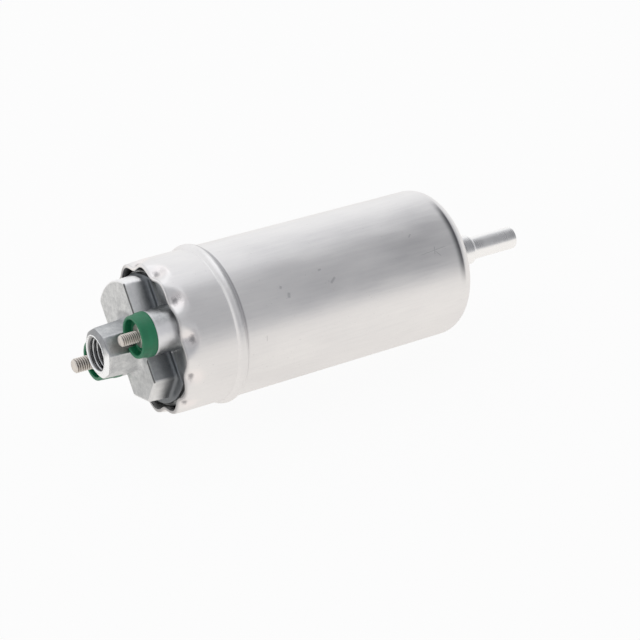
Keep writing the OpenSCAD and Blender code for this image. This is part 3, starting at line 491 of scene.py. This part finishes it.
def turned(z, radius, columns, centre_u=0.0, ends=True):
    """A grid about the line u = centre_u. Where both ends are closed, each gets a pole."""
    angle = angles_round(columns)
    z, radius = z[:, None], np.broadcast_to(radius, (len(z), columns))
    points = on_cap(centre_u + radius * np.cos(np.radians(angle)), radius * np.sin(np.radians(angle)), z)
    rows = len(z)
    faces = grid_faces(rows, columns, wrap_rows=not ends)
    if not ends:
        return points, faces
    poles = on_cap(np.full(2, centre_u), 0.0, np.array([z[0, 0], z[-1, 0]]))
    low = pole_faces(0, columns, rows * columns, True)
    high = pole_faces((rows - 1) * columns, columns, rows * columns + 1, False)
    return np.concatenate([points, poles]), faces, low, high


STUD_COLUMNS = 48


def threaded_stud(r, pitch, tip_z, centre_u):
    """Inner head, shank, round shoulder and rolled thread up to a chamfered tip."""
    thread_z = np.arange(75.9, tip_z - 0.02, pitch / 8)
    shank_z = [56.5, 56.5, 57.5, 57.5, 74.6, 74.6, 74.7, 75.3, 75.4, 75.4, 75.7]
    shank_r = [3.0, 3.6, 3.6, r, r, 3.9, 4.0, 4.0, 3.9, r - 0.3, r - 0.3]
    z = np.concatenate([shank_z, thread_z, [tip_z, tip_z]])
    level = np.concatenate([shank_r, np.full(len(thread_z), r), [r - 0.55, r * 0.4]])
    angle = angles_round(STUD_COLUMNS)
    depth = 0.6 * pitch
    wave = thread_wave(z[:, None], angle[None, :], pitch)
    cut = np.where((z[:, None] > 75.8), depth * (1 - wave), 0.0)
    chamfer = tip_z - z[:, None] + r - 0.55
    radius = np.minimum(level[:, None] - cut, np.maximum(chamfer, r * 0.4))
    radius[-2:] = level[-2:, None]
    return turned(z, radius, STUD_COLUMNS, centre_u)


plus_stud = threaded_stud(2.5, 0.8, 87.5, -STUD_U)
minus_stud = threaded_stud(2.0, 0.7, 82.2, STUD_U)
print("studs:", len(plus_stud[0]), "and", len(minus_stud[0]), "points")

# %% The outlet's thread
OUTLET_PITCH, OUTLET_COLUMNS, SLEEVE_R, SLEEVE_TOP = 1.5, 96, 6.45, 85.28
port_z = np.concatenate([np.arange(THREAD_FOOT, 84.7, 0.125), np.arange(84.7, SLEEVE_TOP, 0.06)])
angle = angles_round(OUTLET_COLUMNS)
wave = thread_wave(port_z[:, None], angle[None, :], OUTLET_PITCH)
inner = 6.1 - 0.85 * wave
opening = 5.25 + np.clip(port_z - 84.45, 0, None)
inner = np.maximum(inner, opening[:, None])
sleeve_z = np.concatenate([port_z, [SLEEVE_TOP, THREAD_FOOT]])
sleeve_r = np.concatenate([inner, np.full((2, OUTLET_COLUMNS), SLEEVE_R)])
outlet_points, outlet_faces = turned(sleeve_z, sleeve_r, OUTLET_COLUMNS, ends=False)
outlet_faces = outlet_faces[:, ::-1]
print("the outlet's thread turns", round((PORT_Z - THREAD_FOOT) / OUTLET_PITCH, 1), "times")

# %% [markdown]
# ## The cap's hidden half
# Round the plate a turned ring carries the flange, and a skirt with the groove of the seal goes down
# into the can. Four thin walls round each brush well guide its brush.

# %% Flange, skirt and brush guides
skirt_outline = np.array([
    (FLOOR_Z, 20.5), (REAR_Z, 20.5), (REAR_Z, CAP_R), (49.2, CAP_R), (49.2, 22.1), (52.0, 22.1),
    (52.0, CAP_R), (59.9, CAP_R), (60.8, 24.4), (61.9, 23.8), (63.1, 23.2), (FLANGE_Z, 22.9),
    (FLANGE_Z, 14.75), (62.9, 14.75), (62.9, 20.0), (FLOOR_Z, 20.0)])
skirt = turned(skirt_outline[:, 0], skirt_outline[:, 1:], 128, ends=False)


def box_part(low, high, turned_round):
    """A box of the cap between two corners, or the same box turned half round the axis."""
    corner = np.array([[x, y, z] for z in (low[2], high[2]) for y in (low[1], high[1])
                       for x in (low[0], high[0])], float)
    if turned_round:
        corner[:, :2] *= -1
    faces = np.array([[0, 2, 3, 1], [4, 5, 7, 6], [0, 1, 5, 4], [2, 6, 7, 3], [0, 4, 6, 2], [1, 3, 7, 5]])
    return on_cap(corner[:, 0], corner[:, 1], corner[:, 2]), faces


guide_walls = [((-4.25, 6.55, 49.8), (-2.65, 16.05, 58.6)), ((2.65, 6.55, 49.8), (4.25, 16.05, 58.6)),
               ((-2.7, 6.55, 49.8), (2.7, 8.15, 58.6)), ((-2.7, 14.45, 49.8), (2.7, 16.05, 58.6))]
guides = [box_part(low, high, back) for back in (False, True) for low, high in guide_walls]
print("the skirt has", len(skirt[0]), "points, and the guides have", len(guides), "walls")

# %% [markdown]
# ## Insulating collars
# A green moulding round each stud: a sleeve in the tower, a floor on it, and a wall that stands
# open towards the port, to leave room for a ring terminal. The edges are blunt from the mould.

# %% Collars
COLLAR_STEP, GAP = 0.25, math.radians(18)
CUT_X = PORT_HALF + (PORT_Z - BLOCK_Z) * PORT_DRAFT + 0.15 - STUD_U


def collar_form(hole_r, side, high):
    """Field of a collar about its own stud, with its gap towards -x, and then its skin."""
    low = np.array([-8.0, -8.0, 57.9])
    x, y, z = lattice(low, (8.0, 8.0, high + 0.8), COLLAR_STEP)
    far = np.hypot(x, y)
    wall = soft_max(np.abs(far - 6.8 + (z - TOWER_Z) * 0.07) - 0.6, np.maximum(TOWER_Z - z, z - high), 0.35)
    gap = np.abs(y) * math.cos(GAP) + x * math.sin(GAP)
    wall = soft_max(wall, -gap, 0.4)
    wall = soft_max(wall, CUT_X - x, 0.3)
    floor = soft_max(far - 7.4, np.maximum(TOWER_Z - z, z - 74.55), 0.35)
    floor = soft_max(floor, CUT_X - x, 0.3)
    body = soft_min(wall, floor, 0.5)
    body = np.minimum(body, disc(x, y, z, 4.15, FLOOR_Z, 73.5))
    body = without(body, disc(x, y, z, hole_r + 0.05, 0.0, PAST_END))
    points, faces = skin(body, low, COLLAR_STEP)
    turn = 1.0 if side > 0 else -1.0
    return on_cap(turn * (points[:, 0] + STUD_U), turn * points[:, 1], points[:, 2]), faces


collar_plus_form = collar_form(2.5, -1, 80.5)
collar_minus_form = collar_form(2.0, 1, 77.5)
print("a collar has", len(collar_plus_form[1]), "faces")

# %% [markdown]
# ## The inlet pipe
# A turned aluminium pipe on a thicker neck, which ends in a round shoulder. Its tip is slightly
# rounded.

# %% Inlet pipe
TIP_X, NECK_X, PIPE_COLUMNS = 83.7, 64.6, 96
quarter = np.radians(np.linspace(0, 90, 6))
pipe_x = np.concatenate([
    [43.55, 46.45, 46.45, 47.75, 47.75, 49.05, 49.05, 49.35],
    NECK_X - 0.8 + 0.8 * np.sin(quarter),
    [NECK_X, NECK_X + 0.4, NECK_X + 1.0, 70.0, 80.0],
    TIP_X - 0.45 + 0.45 * np.sin(quarter),
    TIP_X - 0.3 + 0.3 * np.cos(quarter[1:]),
    [70.0, 55.0, 43.55]])
pipe_r = np.concatenate([
    [4.0, 4.0, 6.2, 6.2, 4.0, 4.0, 5.3, 5.3],
    4.5 + 0.8 * np.cos(quarter),
    [4.3, 4.1, 4.0, 4.0, 4.0],
    3.55 + 0.45 * np.cos(quarter),
    3.4 - 0.3 * np.sin(quarter[1:]),
    [3.1, 3.1, 3.1]])
pipe_points = on_axis(pipe_x[:, None], pipe_r[:, None], angles_round(PIPE_COLUMNS)[None, :])
pipe_faces = grid_faces(len(pipe_x), PIPE_COLUMNS, wrap_rows=True)
print("the pipe's outline has", len(pipe_x), "points")

# %% [markdown]
# ## Finishes
# The drawn can is pale satin aluminium. Its fine lines run along the axis, as the drawing punch
# leaves them, with cloudy patches from handling, a few scratches, and painted shade and highlight
# at each crimp.

# %% Masks
def band(wire, middle, half, soft):
    """1 within half of the middle, 0 further out than half + soft."""
    return 1.0 - abs(wire - middle).ramp(half, half + soft)


def angle_round_axis(f):
    """Angle from -Y towards +Z, in degrees."""
    return f.z.math("ARCTAN2", f.y * -1.0) * (180 / math.pi)


def scratches(f, angle, marks):
    """Dark strokes on the barrel, each at (X, angle, length, lean, width): a thin box in turned
    coordinates."""
    total = None
    for at_x, at_angle, length, lean, width in marks:
        along = f.x - at_x
        around = (angle - at_angle) * (math.pi / 180 * CAN_R)
        c, s = math.cos(math.radians(lean)), math.sin(math.radians(lean))
        stroke = band(along * c + around * s, 0.0, length / 2, length / 3) \
            * band(around * c - along * s, 0.0, width / 2, width)
        total = stroke if total is None else total.math("MAXIMUM", stroke)
    return total


print("masks: a band, an angle round the axis, and scratches")

# %% Lines, clouds and scratches of the can
drawn = Finish("drawn_aluminium", Metallic=1.0, Roughness=0.36)
angle = angle_round_axis(drawn)
clouds = drawn.noise(0.09, detail=5.0, stretch=(2.2, 1, 1))
fine = drawn.noise(0.9, detail=3.0, stretch=(14, 1, 1))
grain = drawn.noise(2.6, detail=2.0)
specks = drawn.noise(1.1, detail=4.0, shift=0.02).ramp(0.66, 0.74)
SCRATCHES = [(-25.0, 33, 1.3, 75, 0.5), (-7.5, 35, 1.9, 38, 0.4), (33.5, 36, 7.5, 4, 0.12),
             (34.0, 36, 2.0, 75, 0.15), (35.0, 33, 2.0, -50, 0.12), (-36.0, 7, 1.4, 88, 0.15),
             (27.0, 52, 1.2, 40, 0.22), (-11.0, 45, 0.9, 10, 0.3), (-27.0, 40, 0.7, 60, 0.4)]
marks = scratches(drawn, angle, SCRATCHES)
print("the can has", len(SCRATCHES), "scratches")

# %% [markdown]
# Each crimp gets a ragged dark nick of painted shade in its dent, with a warm pale halo of painted
# highlight round it. The nick of the crimp nearest the camera lies a little further out. A dark
# painted reflection lies across the far shoulder, and grey painted shade on the bead's far flank.
# The attribute inward is 1 on the inner wall and on the sheared edge of the rim, which are dull and
# dark with painted shade, but for a stretch of the edge on top that is left unshaded.

# %% Painted shades and highlights of the can
DIMPLE_R, NICK_X, HALO_X, EDGE_X = 24.6, -63.7, -62.6, -65.3
place = (angle - (CRIMP_AT - CRIMP_STEP / 2)).math("FLOORED_MODULO", CRIMP_STEP) - CRIMP_STEP / 2
across = place * (math.pi / 180 * DIMPLE_R)
ragged = (drawn.noise(0.9, detail=4.0, shift=0.05) - 0.5) * 1.6
at_nick = drawn.x - NICK_X - band(angle, CRIMP_AT, 9.0, 3.0) * 1.4
# A ragged dark nick of painted shade in each crimp's dent.
nick_shade = 1.0 - ((at_nick * at_nick * 1.2 + across * across * 0.5).sqrt() + ragged).ramp(0.2, 1.5)
at_halo = drawn.x - HALO_X
# A warm pale halo of painted highlight round each crimp.
halo_highlight = 1.0 - ((at_halo * at_halo + across * across).sqrt() + ragged).ramp(1.2, 4.2)
# A dark painted reflection across the far shoulder.
shoulder_reflection = drawn.x.ramp(41.6, 44.0) * (1.0 - drawn.x.ramp(44.0, 44.7)) * band(angle, 42.0, 16.0, 24.0)
# Grey painted shade on the bead's far flank.
bead_flank_shade = band(drawn.x, -43.55, 0.65, 0.6) * angle.ramp(-5.0, 28.0) * (1.0 - angle.ramp(102.0, 122.0))
# Painted shade on the inner wall and the rim's edge, left off a stretch of the edge on top.
bright_edge = (drawn.x - EDGE_X).ramp(0.1, -0.1) * band(angle, 92.0, 26.0, 16.0)
inner_wall_shade = drawn.attribute("inward") * (1.0 - bright_edge)
print("the can's painted_marks lie at X", NICK_X, "to", HALO_X, "mm")

# %% Drawn aluminium
shade = (clouds - 0.5) * 0.9 + (fine - 0.5) * 0.45 + 0.62
can_colour = shade.limit().tint((0.70, 0.695, 0.71), (0.93, 0.92, 0.915))
for mask, colour in ((marks * 0.38, (0.36, 0.36, 0.38)), (shoulder_reflection * 0.85, (0.10, 0.10, 0.115)),
                     (bead_flank_shade * 0.6, (0.26, 0.26, 0.29)), (specks * 0.16, (0.25, 0.25, 0.27)),
                     (halo_highlight * 0.55, (0.93, 0.875, 0.87)), (nick_shade * 0.7, (0.22, 0.215, 0.23)),
                     (inner_wall_shade * 0.8, (0.40, 0.395, 0.40))):
    can_colour = can_colour.paint(mask, colour)
drawn.feed(Base_Color=can_colour,
           Roughness=(fine - 0.5) * 0.20 + (clouds - 0.5) * 0.26 + 0.38 - halo_highlight * 0.08 + inner_wall_shade * 0.15)
drawn.relief(fine * 0.5 + grain * 0.35 + (1.0 - marks) * 0.3 + (1.0 - nick_shade) * 1.0, 0.06)
print("drawn aluminium has", len(drawn.tree.nodes), "nodes")

# %% [markdown]
# The casting is darker and duller. Its skin has a fine pitted grain and grey clouds where the metal
# chilled first. The towers get a painted highlight on the side that points out and down, and painted
# shade above and below it.

# %% Skin of the casting
def cap_directions(f):
    """u and v of the cap, in millimetres, from the object's Y and Z."""
    c, s = math.cos(STUD_ROLL), math.sin(STUD_ROLL)
    return f.z * s - f.y * c, f.y * s + f.z * c


cast = Finish("cast_aluminium", Metallic=1.0, Roughness=0.5)
cu, cv = cap_directions(cast)
from_axis = (cu * cu + cv * cv).sqrt()
cloud = cast.noise(0.22, detail=6.0, roughness=0.65)
pits = cast.noise(2.2, detail=4.0, roughness=0.7)
coarse = cast.noise(0.7, detail=3.0, shift=0.03)
tone = ((cloud - 0.5) * 1.7 + (coarse - 0.5) * 1.2 + (pits - 0.5) * 1.0 + 0.5).limit()
metal = tone.tint((0.47, 0.485, 0.50), (0.78, 0.79, 0.795))
print("the casting's skin has", len(cast.tree.nodes), "nodes")

# %% Towers of the studs
stud_u = abs(cu) - STUD_U
from_stud = (stud_u * stud_u + cv * cv).sqrt()
on_tower = 1.0 - from_stud.ramp(7.8, 8.5)
round_tower = cv.math("ARCTAN2", stud_u) * (180 / math.pi)
BRIGHT_AT, BRIGHT_HALF = -20.0, 16.0
# Painted highlight on the side of the towers that points out and down, painted shade above and below it.
tower_highlight = band(round_tower, BRIGHT_AT, BRIGHT_HALF, 26.0)
tower_shade = ((round_tower - 30.0).ramp(0.0, 36.0) + (-1.0 * round_tower - 60.0).ramp(0.0, 30.0) * 0.3) * 0.46
tower = metal.paint(tower_highlight, (0.97, 0.97, 0.985)).paint(tower_shade, (0.13, 0.14, 0.155))
print("the towers' bright side is", round(2 * BRIGHT_HALF), "degrees wide")

# %% [markdown]
# The block's walls get darker towards their foot with painted shade, and the flange and the port's
# near flats get painted shade too. The wide lobe's rounded end and side and the faces of the narrow
# lobe's point get painted light, and the narrow lobe's side and the near end of its top painted shade.
# A thin dark line runs along the near edge of the block, where the two halves of the die met.

# %% Block, plinth and flange
off_front = (cast.x + 72.7).ramp(0.0, 0.4) * (1.0 - (cast.x + 69.0).ramp(0.0, 3.0))
# Painted light on the wide lobe's rounded end.
lit_lobe_end = (from_axis - 20.7).ramp(0.0, 0.6) * (cv - 8.0).ramp(0.0, 5.0) * (cast.x + 66.5).ramp(0.0, -0.5)
lit_side = (cv - 2.0).ramp(0.0, 3.0) * off_front
dim_side = band(cv, -9.5, 5.5, 2.0) * off_front
# Painted shade on the near end of the narrow lobe's top.
near_end_shade = (-1.0 * cv - 7.0).ramp(0.0, 8.0) * (1.0 - (cast.x + 72.75).ramp(0.0, 0.3))
to_point = abs(cu) * math.sin(POINT) - (cv + NARROW_END) * math.cos(POINT) - (cast.x + BLOCK_Z) * DRAFT
# Painted light on the faces of the narrow lobe's point.
lit_point_faces = band(to_point, 0.0, 0.5, 0.3) * (cv + 13.0).ramp(0.0, -0.5)
# Painted shade on the walls, darker towards their foot.
foot_shade = (cast.x + 71.1).ramp(0.0, 5.4) * 0.80 * (1.0 - lit_lobe_end)
# The flange is painted a mid grey: painted shade between the block and the can's rim.
on_flange = (cast.x + 64.9).ramp(0.0, 0.5)
corner_shade = band(from_axis, 10.0, 0.8, 1.4) * (cv - 2.0).ramp(0.0, 3.0) * (cu + 3.0).ramp(0.0, 5.0) \
    * (cast.x + 72.3).ramp(0.0, -0.4)
FLAT_SLOPE = 0.4142  # tangent of 22.5 degrees, half the angle of one side of the port
on_port = (cast.x + 72.7).ramp(0.0, -0.5)
# Painted shade on the port's near flats, darker towards their foot.
near_flat_shade = (abs(cu) * FLAT_SLOPE - abs(cv)).ramp(-0.06, 0.06) * on_port * (1.0 - from_axis.ramp(9.9, 10.3))
near_flat_shade = near_flat_shade * (0.06 + (cast.x + 83.5).ramp(0.0, 8.5) * 0.62)
EDGE_MIDDLE, EDGE_HALF = 1.4, 16.6
edge_u = (cv + 1.0).ramp(0.0, 0.6) * (LOBE_W - NARROW_W) + NARROW_W
edge_line = band(cu - edge_u, -0.40, 0.22, 0.18) * (cast.x + 72.3).ramp(0.0, -0.3)
edge_line = edge_line * (from_axis - 11.6).ramp(0.0, 0.5) * band(cv, EDGE_MIDDLE, EDGE_HALF, 0.3)
print("the block's edge line is", round(2 * EDGE_HALF), "mm long")

# %% [markdown]
# The mouth of the port is turned and stays bright, and so do the crests of its thread. Deeper in,
# the thread gets dark with painted shade.

# %% Outlet
turned_mouth = (cast.x + 85.08).ramp(0.0, -0.12)
on_cone = (cast.x + 84.05).ramp(0.0, -0.2)
shaded_cone = on_cone * (cv + 1.5).ramp(0.0, 2.5) * (cu + 4.5).ramp(0.0, 3.0)
in_thread = (1.0 - from_axis.ramp(6.2, 6.3)) * (cast.x + 73.6).ramp(0.0, -0.4)
cut = turned_mouth.math("MAXIMUM", on_cone * (cv + 1.0).ramp(0.0, -2.5)).math("MAXIMUM", in_thread)
crest = from_axis.ramp(6.0, 5.3)
crest_shade = 0.86 - crest * (cast.x + 84.5).ramp(0.0, 0.5) * 0.5
# Painted shade in the thread from just inside the mouth, lighter on the crests further in.
thread_shade = in_thread * (cast.x + 85.12).ramp(0.0, 0.3) * crest_shade
print("the casting has", len(cast.tree.nodes), "nodes so far")

# %% Cast aluminium
cast_colour = metal
for mask, colour in ((lit_lobe_end * 0.85, (0.95, 0.95, 0.955)), (lit_side * 0.6, (0.95, 0.95, 0.96)),
                     (dim_side * 0.45, (0.25, 0.265, 0.28)), (near_end_shade * 0.25, (0.25, 0.265, 0.28)),
                     (lit_point_faces * 0.5, (0.95, 0.95, 0.955)), (foot_shade, (0.065, 0.078, 0.094)),
                     (on_flange * 0.9, (0.48, 0.495, 0.50)), (corner_shade * 0.45, (0.20, 0.205, 0.22)),
                     (near_flat_shade, (0.10, 0.11, 0.11)), (on_tower * (1.0 - on_port), tower),
                     (edge_line * 0.85, (0.05, 0.05, 0.055)), (shaded_cone * 0.6, (0.16, 0.165, 0.18)),
                     (cut, (0.93, 0.95, 0.97)), (thread_shade, (0.20, 0.20, 0.205))):
    cast_colour = cast_colour.paint(mask, colour)
cast.feed(Base_Color=cast_colour,
          Roughness=(cloud - 0.5) * 0.3 + 0.47 - cut * 0.24 - on_tower * 0.14,
          Metallic=1.0 - on_tower * tower_highlight * 0.45)
cast.relief((pits * 0.7 + coarse * 0.5 + (1.0 - edge_line) * 1.5) * (1.0 - cut), 0.10)
print("cast aluminium has", len(cast.tree.nodes), "nodes")

# %% [markdown]
# The pipe is turned bright. The studs are plated, and darker in the roots of their threads. Their
# chamfered tips are not darkened.

# %% Bright turned aluminium and plated steel
bright = Finish("bright_aluminium", Metallic=1.0, Roughness=0.30)
turning = bright.noise(0.5, detail=2.0, stretch=(0.12, 4, 4))
smear = bright.noise(0.12, detail=4.0)
bright.feed(Base_Color=((smear - 0.5) * 0.8 + 0.6).limit().tint((0.88, 0.88, 0.89), (0.985, 0.985, 0.98)),
            Roughness=(turning - 0.5) * 0.2 + (smear - 0.5) * 0.15 + 0.30)
bright.relief(turning, 0.02)

plated = Finish("plated_steel", Metallic=0.85, Roughness=0.42)
bloom = plated.noise(0.8, detail=5.0)
pu, pv = cap_directions(plated)
stud_r = ((abs(pu) - STUD_U) * (abs(pu) - STUD_U) + pv * pv).sqrt()
larger = (pu * -1.0).ramp(-1.0, 1.0)
crest = stud_r - 2.0 - larger * 0.5
tip = (plated.x + 81.75 + larger * 5.3).ramp(0.0, -0.2)
root = (1.0 - crest.ramp(-0.40, -0.12)) * (plated.x + 75.7).ramp(0.0, -0.3) * (1.0 - tip)
zinc = ((bloom - 0.5) * 1.4 + 0.5).limit().tint((0.60, 0.56, 0.52), (0.86, 0.82, 0.775))
plated.feed(Base_Color=zinc.paint(root * 0.75, (0.16, 0.13, 0.115)),
            Roughness=(bloom - 0.5) * 0.3 + 0.40)
plated.relief(bloom, 0.02)
print("plated steel has", len(plated.tree.nodes), "nodes")

# %% [markdown]
# The collars are moulded nylon: an even deep green, a little glossy, with the faint mottle of a
# sparked mould. Rubber, the yellowish valve plastic and pressed carbon are written in the same way.

# %% Mouldings
def moulding(name, dark, light, roughness, grain_scale, grain_depth, sheen=0.35):
    """An even moulded colour with a fine grain and slow patches of sheen."""
    f = Finish(name, Roughness=roughness, Specular_IOR_Level=sheen)
    patch, fine_grain = f.noise(0.3, detail=4.0), f.noise(grain_scale, detail=3.0)
    f.feed(Base_Color=((patch - 0.5) * 1.2 + 0.5).limit().tint(dark, light),
           Roughness=(patch - 0.5) * 0.2 + (fine_grain - 0.5) * 0.15 + roughness)
    f.relief(fine_grain, grain_depth)
    return f


green = moulding("green_plastic", (0.004, 0.160, 0.068), (0.009, 0.240, 0.108), 0.42, 3.0, 0.04, 0.6)
rubber = moulding("black_rubber", (0.012, 0.012, 0.012), (0.035, 0.035, 0.035), 0.72, 4.0, 0.05)
valve_plastic = moulding("valve_plastic", (0.60, 0.52, 0.36), (0.76, 0.69, 0.52), 0.48, 3.0, 0.03)
carbon = moulding("carbon", (0.018, 0.018, 0.020), (0.055, 0.055, 0.058), 0.55, 6.0, 0.06)
print("mouldings are done")


# %% Metals inside the pump
def worked_metal(name, dark, light, roughness, scale, stretch, depth, metallic=1.0):
    """A metal with tool marks: noise drawn out along the way the tool went."""
    f = Finish(name, Metallic=metallic, Roughness=roughness)
    tool, patch = f.noise(scale, detail=3.0, stretch=stretch), f.noise(0.15, detail=4.0)
    f.feed(Base_Color=((patch - 0.5) + (tool - 0.5) * 0.6 + 0.5).limit().tint(dark, light),
           Roughness=(tool - 0.5) * 0.2 + (patch - 0.5) * 0.2 + roughness)
    f.relief(tool, depth)
    return f


steel = worked_metal("steel", (0.40, 0.40, 0.41), (0.60, 0.60, 0.61), 0.34, 1.2, (6, 1, 1), 0.02)
brass = worked_metal("brass", (0.62, 0.46, 0.20), (0.83, 0.66, 0.34), 0.32, 1.0, (1, 5, 5), 0.02)
copper = worked_metal("copper", (0.62, 0.27, 0.15), (0.84, 0.44, 0.27), 0.30, 1.6, (1, 6, 6), 0.03)
bronze = worked_metal("bronze", (0.40, 0.26, 0.13), (0.58, 0.41, 0.23), 0.46, 3.0, (1, 1, 1), 0.05)
ferrite = worked_metal("ferrite", (0.05, 0.05, 0.055), (0.12, 0.12, 0.125), 0.62, 2.5, (1, 1, 1), 0.05, 0.2)
sintered = worked_metal("sintered_steel", (0.26, 0.26, 0.27), (0.40, 0.40, 0.41), 0.44, 3.5, (1, 1, 1), 0.04)
print("six inner metals are done")

# %% [markdown]
# ## Pieces on their bodies
# The visible pieces stand for the solids of the same names. All other solids stay as they are and
# get their finish by the record's slots, so that the pump can be opened up and still looks right.

# %% Dressing the frame
can = make_piece("can_drawn", [(can_points, can_faces)], drawn.material)
cap_piece = make_piece("cap_cast", [(cap_points, cap_faces), (outlet_points, outlet_faces), skirt, *guides],
                       cast.material)
plus_piece = make_piece("stud_plus_threaded", [plus_stud], plated.material)
minus_piece = make_piece("stud_minus_threaded", [minus_stud], plated.material)
collar_plus_piece = make_piece("collar_plus_moulded", [collar_plus_form], green.material)
collar_minus_piece = make_piece("collar_minus_moulded", [collar_minus_form], green.material)
pipe_piece = make_piece("inlet_pipe_turned", [(pipe_points, pipe_faces)], bright.material)
mark_points(can, "inward", np.repeat(inward, CAN_COLUMNS))
for piece, node in ((can, "pump_can"), (cap_piece, "end_cap"), (plus_piece, "stud_plus"),
                    (minus_piece, "stud_minus"), (collar_plus_piece, "collar_plus"),
                    (collar_minus_piece, "collar_minus"), (pipe_piece, "inlet_nipple")):
    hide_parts(node)

# %% Finishes of the solids that stay
by_slot = {"drawn_aluminium": drawn, "cast_aluminium": cast, "bright_aluminium": bright,
           "plated_steel": plated, "green_plastic": green, "black_rubber": rubber, "brass": brass,
           "copper": copper, "carbon": carbon, "steel": steel, "sintered_steel": sintered,
           "bronze": bronze, "ferrite": ferrite, "valve_plastic": valve_plastic}
for part in frame["record"]["subparts"]:
    node = frame["nodes"][part["node"]]
    for spot in node.material_slots:
        spot.material = by_slot[part["material_slot"]].material
print(len(frame["nodes"]), "solids have their finishes")

# %% [markdown]
# ## Floor and light
# A pale floor under the bead, and a plain pale room. The camera sees white. The metal sees the white
# floor and a bright ceiling. A soft grey part of the room behind the camera and to its right leaves
# the grey band along the barrel, and a fainter one to the left greys the faces of the cap. One large
# lamp above gives the soft shadow.

# %% Floor
FLOOR = -27.25 * MM
floor_mesh = bpy.data.meshes.new("floor")
floor_mesh.from_pydata([(x, y, FLOOR) for x, y in ((-3, -3), (3, -3), (3, 3), (-3, 3))], [], [(0, 1, 2, 3)])
floor = bpy.data.objects.new("floor", floor_mesh)
bpy.context.scene.collection.objects.link(floor)
floor_look = bpy.data.materials.new("floor_paper")
floor_look.use_nodes = True
tree = floor_look.node_tree
tree.nodes.clear()
paths = tree.nodes.new("ShaderNodeLightPath")
seen = Wire(tree, paths.outputs["Is Camera Ray"])
through = Wire(tree, paths.outputs["Is Transmission Ray"])
mirrored = Wire(tree, paths.outputs["Is Glossy Ray"]).math("MAXIMUM", through)
paper = seen.node("ShaderNodeBsdfDiffuse", Color=(0.86, 0.86, 0.86, 1.0))
warm = seen.tint((1.0, 0.97, 0.935), (1.0, 1.0, 1.0))
white = seen.node("ShaderNodeEmission", Color=warm, Strength=1.0)
blend = seen.node("ShaderNodeMixShader", i0=(seen * 0.93).math("MAXIMUM", mirrored * 0.94))
tree.links.new(paper.outputs[0], blend.inputs[1])
tree.links.new(white.outputs[0], blend.inputs[2])
out = tree.nodes.new("ShaderNodeOutputMaterial")
tree.links.new(blend.outputs[0], out.inputs[0])
floor_mesh.materials.append(floor_look)
print("the floor is at", round(FLOOR / MM, 2), "mm, under the bead")

# %% Room
scene = bpy.context.scene
scene.view_settings.view_transform = "Standard"
world = bpy.data.worlds.new("room")
scene.world = world
world.use_nodes = True
tree = world.node_tree
tree.nodes.clear()
direction = Wire(tree, tree.nodes.new("ShaderNodeTexCoord").outputs["Generated"])
paths = tree.nodes.new("ShaderNodeLightPath")
through = Wire(tree, paths.outputs["Is Transmission Ray"])
seen = Wire(tree, paths.outputs["Is Camera Ray"]).math("MAXIMUM", through)
apart = direction.node("ShaderNodeSeparateXYZ", i0=direction)
dx, dy, dz = (Wire(tree, s) for s in apart.outputs)
TOWARDS_Y, TOWARDS_Z, DARKEST, LEFT_GREY = -0.512, 0.859, 0.79, 0.50
behind = dy * TOWARDS_Y + dz * TOWARDS_Z
sideways = (dx.ramp(0.22, 0.70) * 1.05).math("MINIMUM", DARKEST)
sideways = sideways.math("MAXIMUM", (dx.ramp(-1.15, -0.60) - dx.ramp(0.10, 0.42)) * LEFT_GREY)
grey_part = behind.ramp(-0.06, 0.76) * sideways
strength = seen.math("MAXIMUM", 1.0 - grey_part)
cool = (grey_part * (1.0 - seen)).tint((1.0, 1.0, 1.0), (0.93, 0.94, 1.0))
sky = seen.node("ShaderNodeBackground", Color=cool, Strength=strength)
out = tree.nodes.new("ShaderNodeOutputWorld")
tree.links.new(sky.outputs[0], out.inputs[0])
print("the room has", len(tree.nodes), "nodes")

# %% Lamp
lamp_data = bpy.data.lights.new("ceiling", "AREA")
lamp_data.shape, lamp_data.size, lamp_data.size_y = "RECTANGLE", 1.4, 1.0
lamp_data.energy = 2.5
lamp = bpy.data.objects.new("ceiling", lamp_data)
scene.collection.objects.link(lamp)
lamp.location = (-0.1, 0.25, 1.2)
lamp.rotation_mode = "QUATERNION"
lamp.rotation_quaternion = (Vector((0, 0, 0)) - Vector(lamp.location)).to_track_quat("-Z", "Y")
print("lamp of", lamp_data.energy, "W")
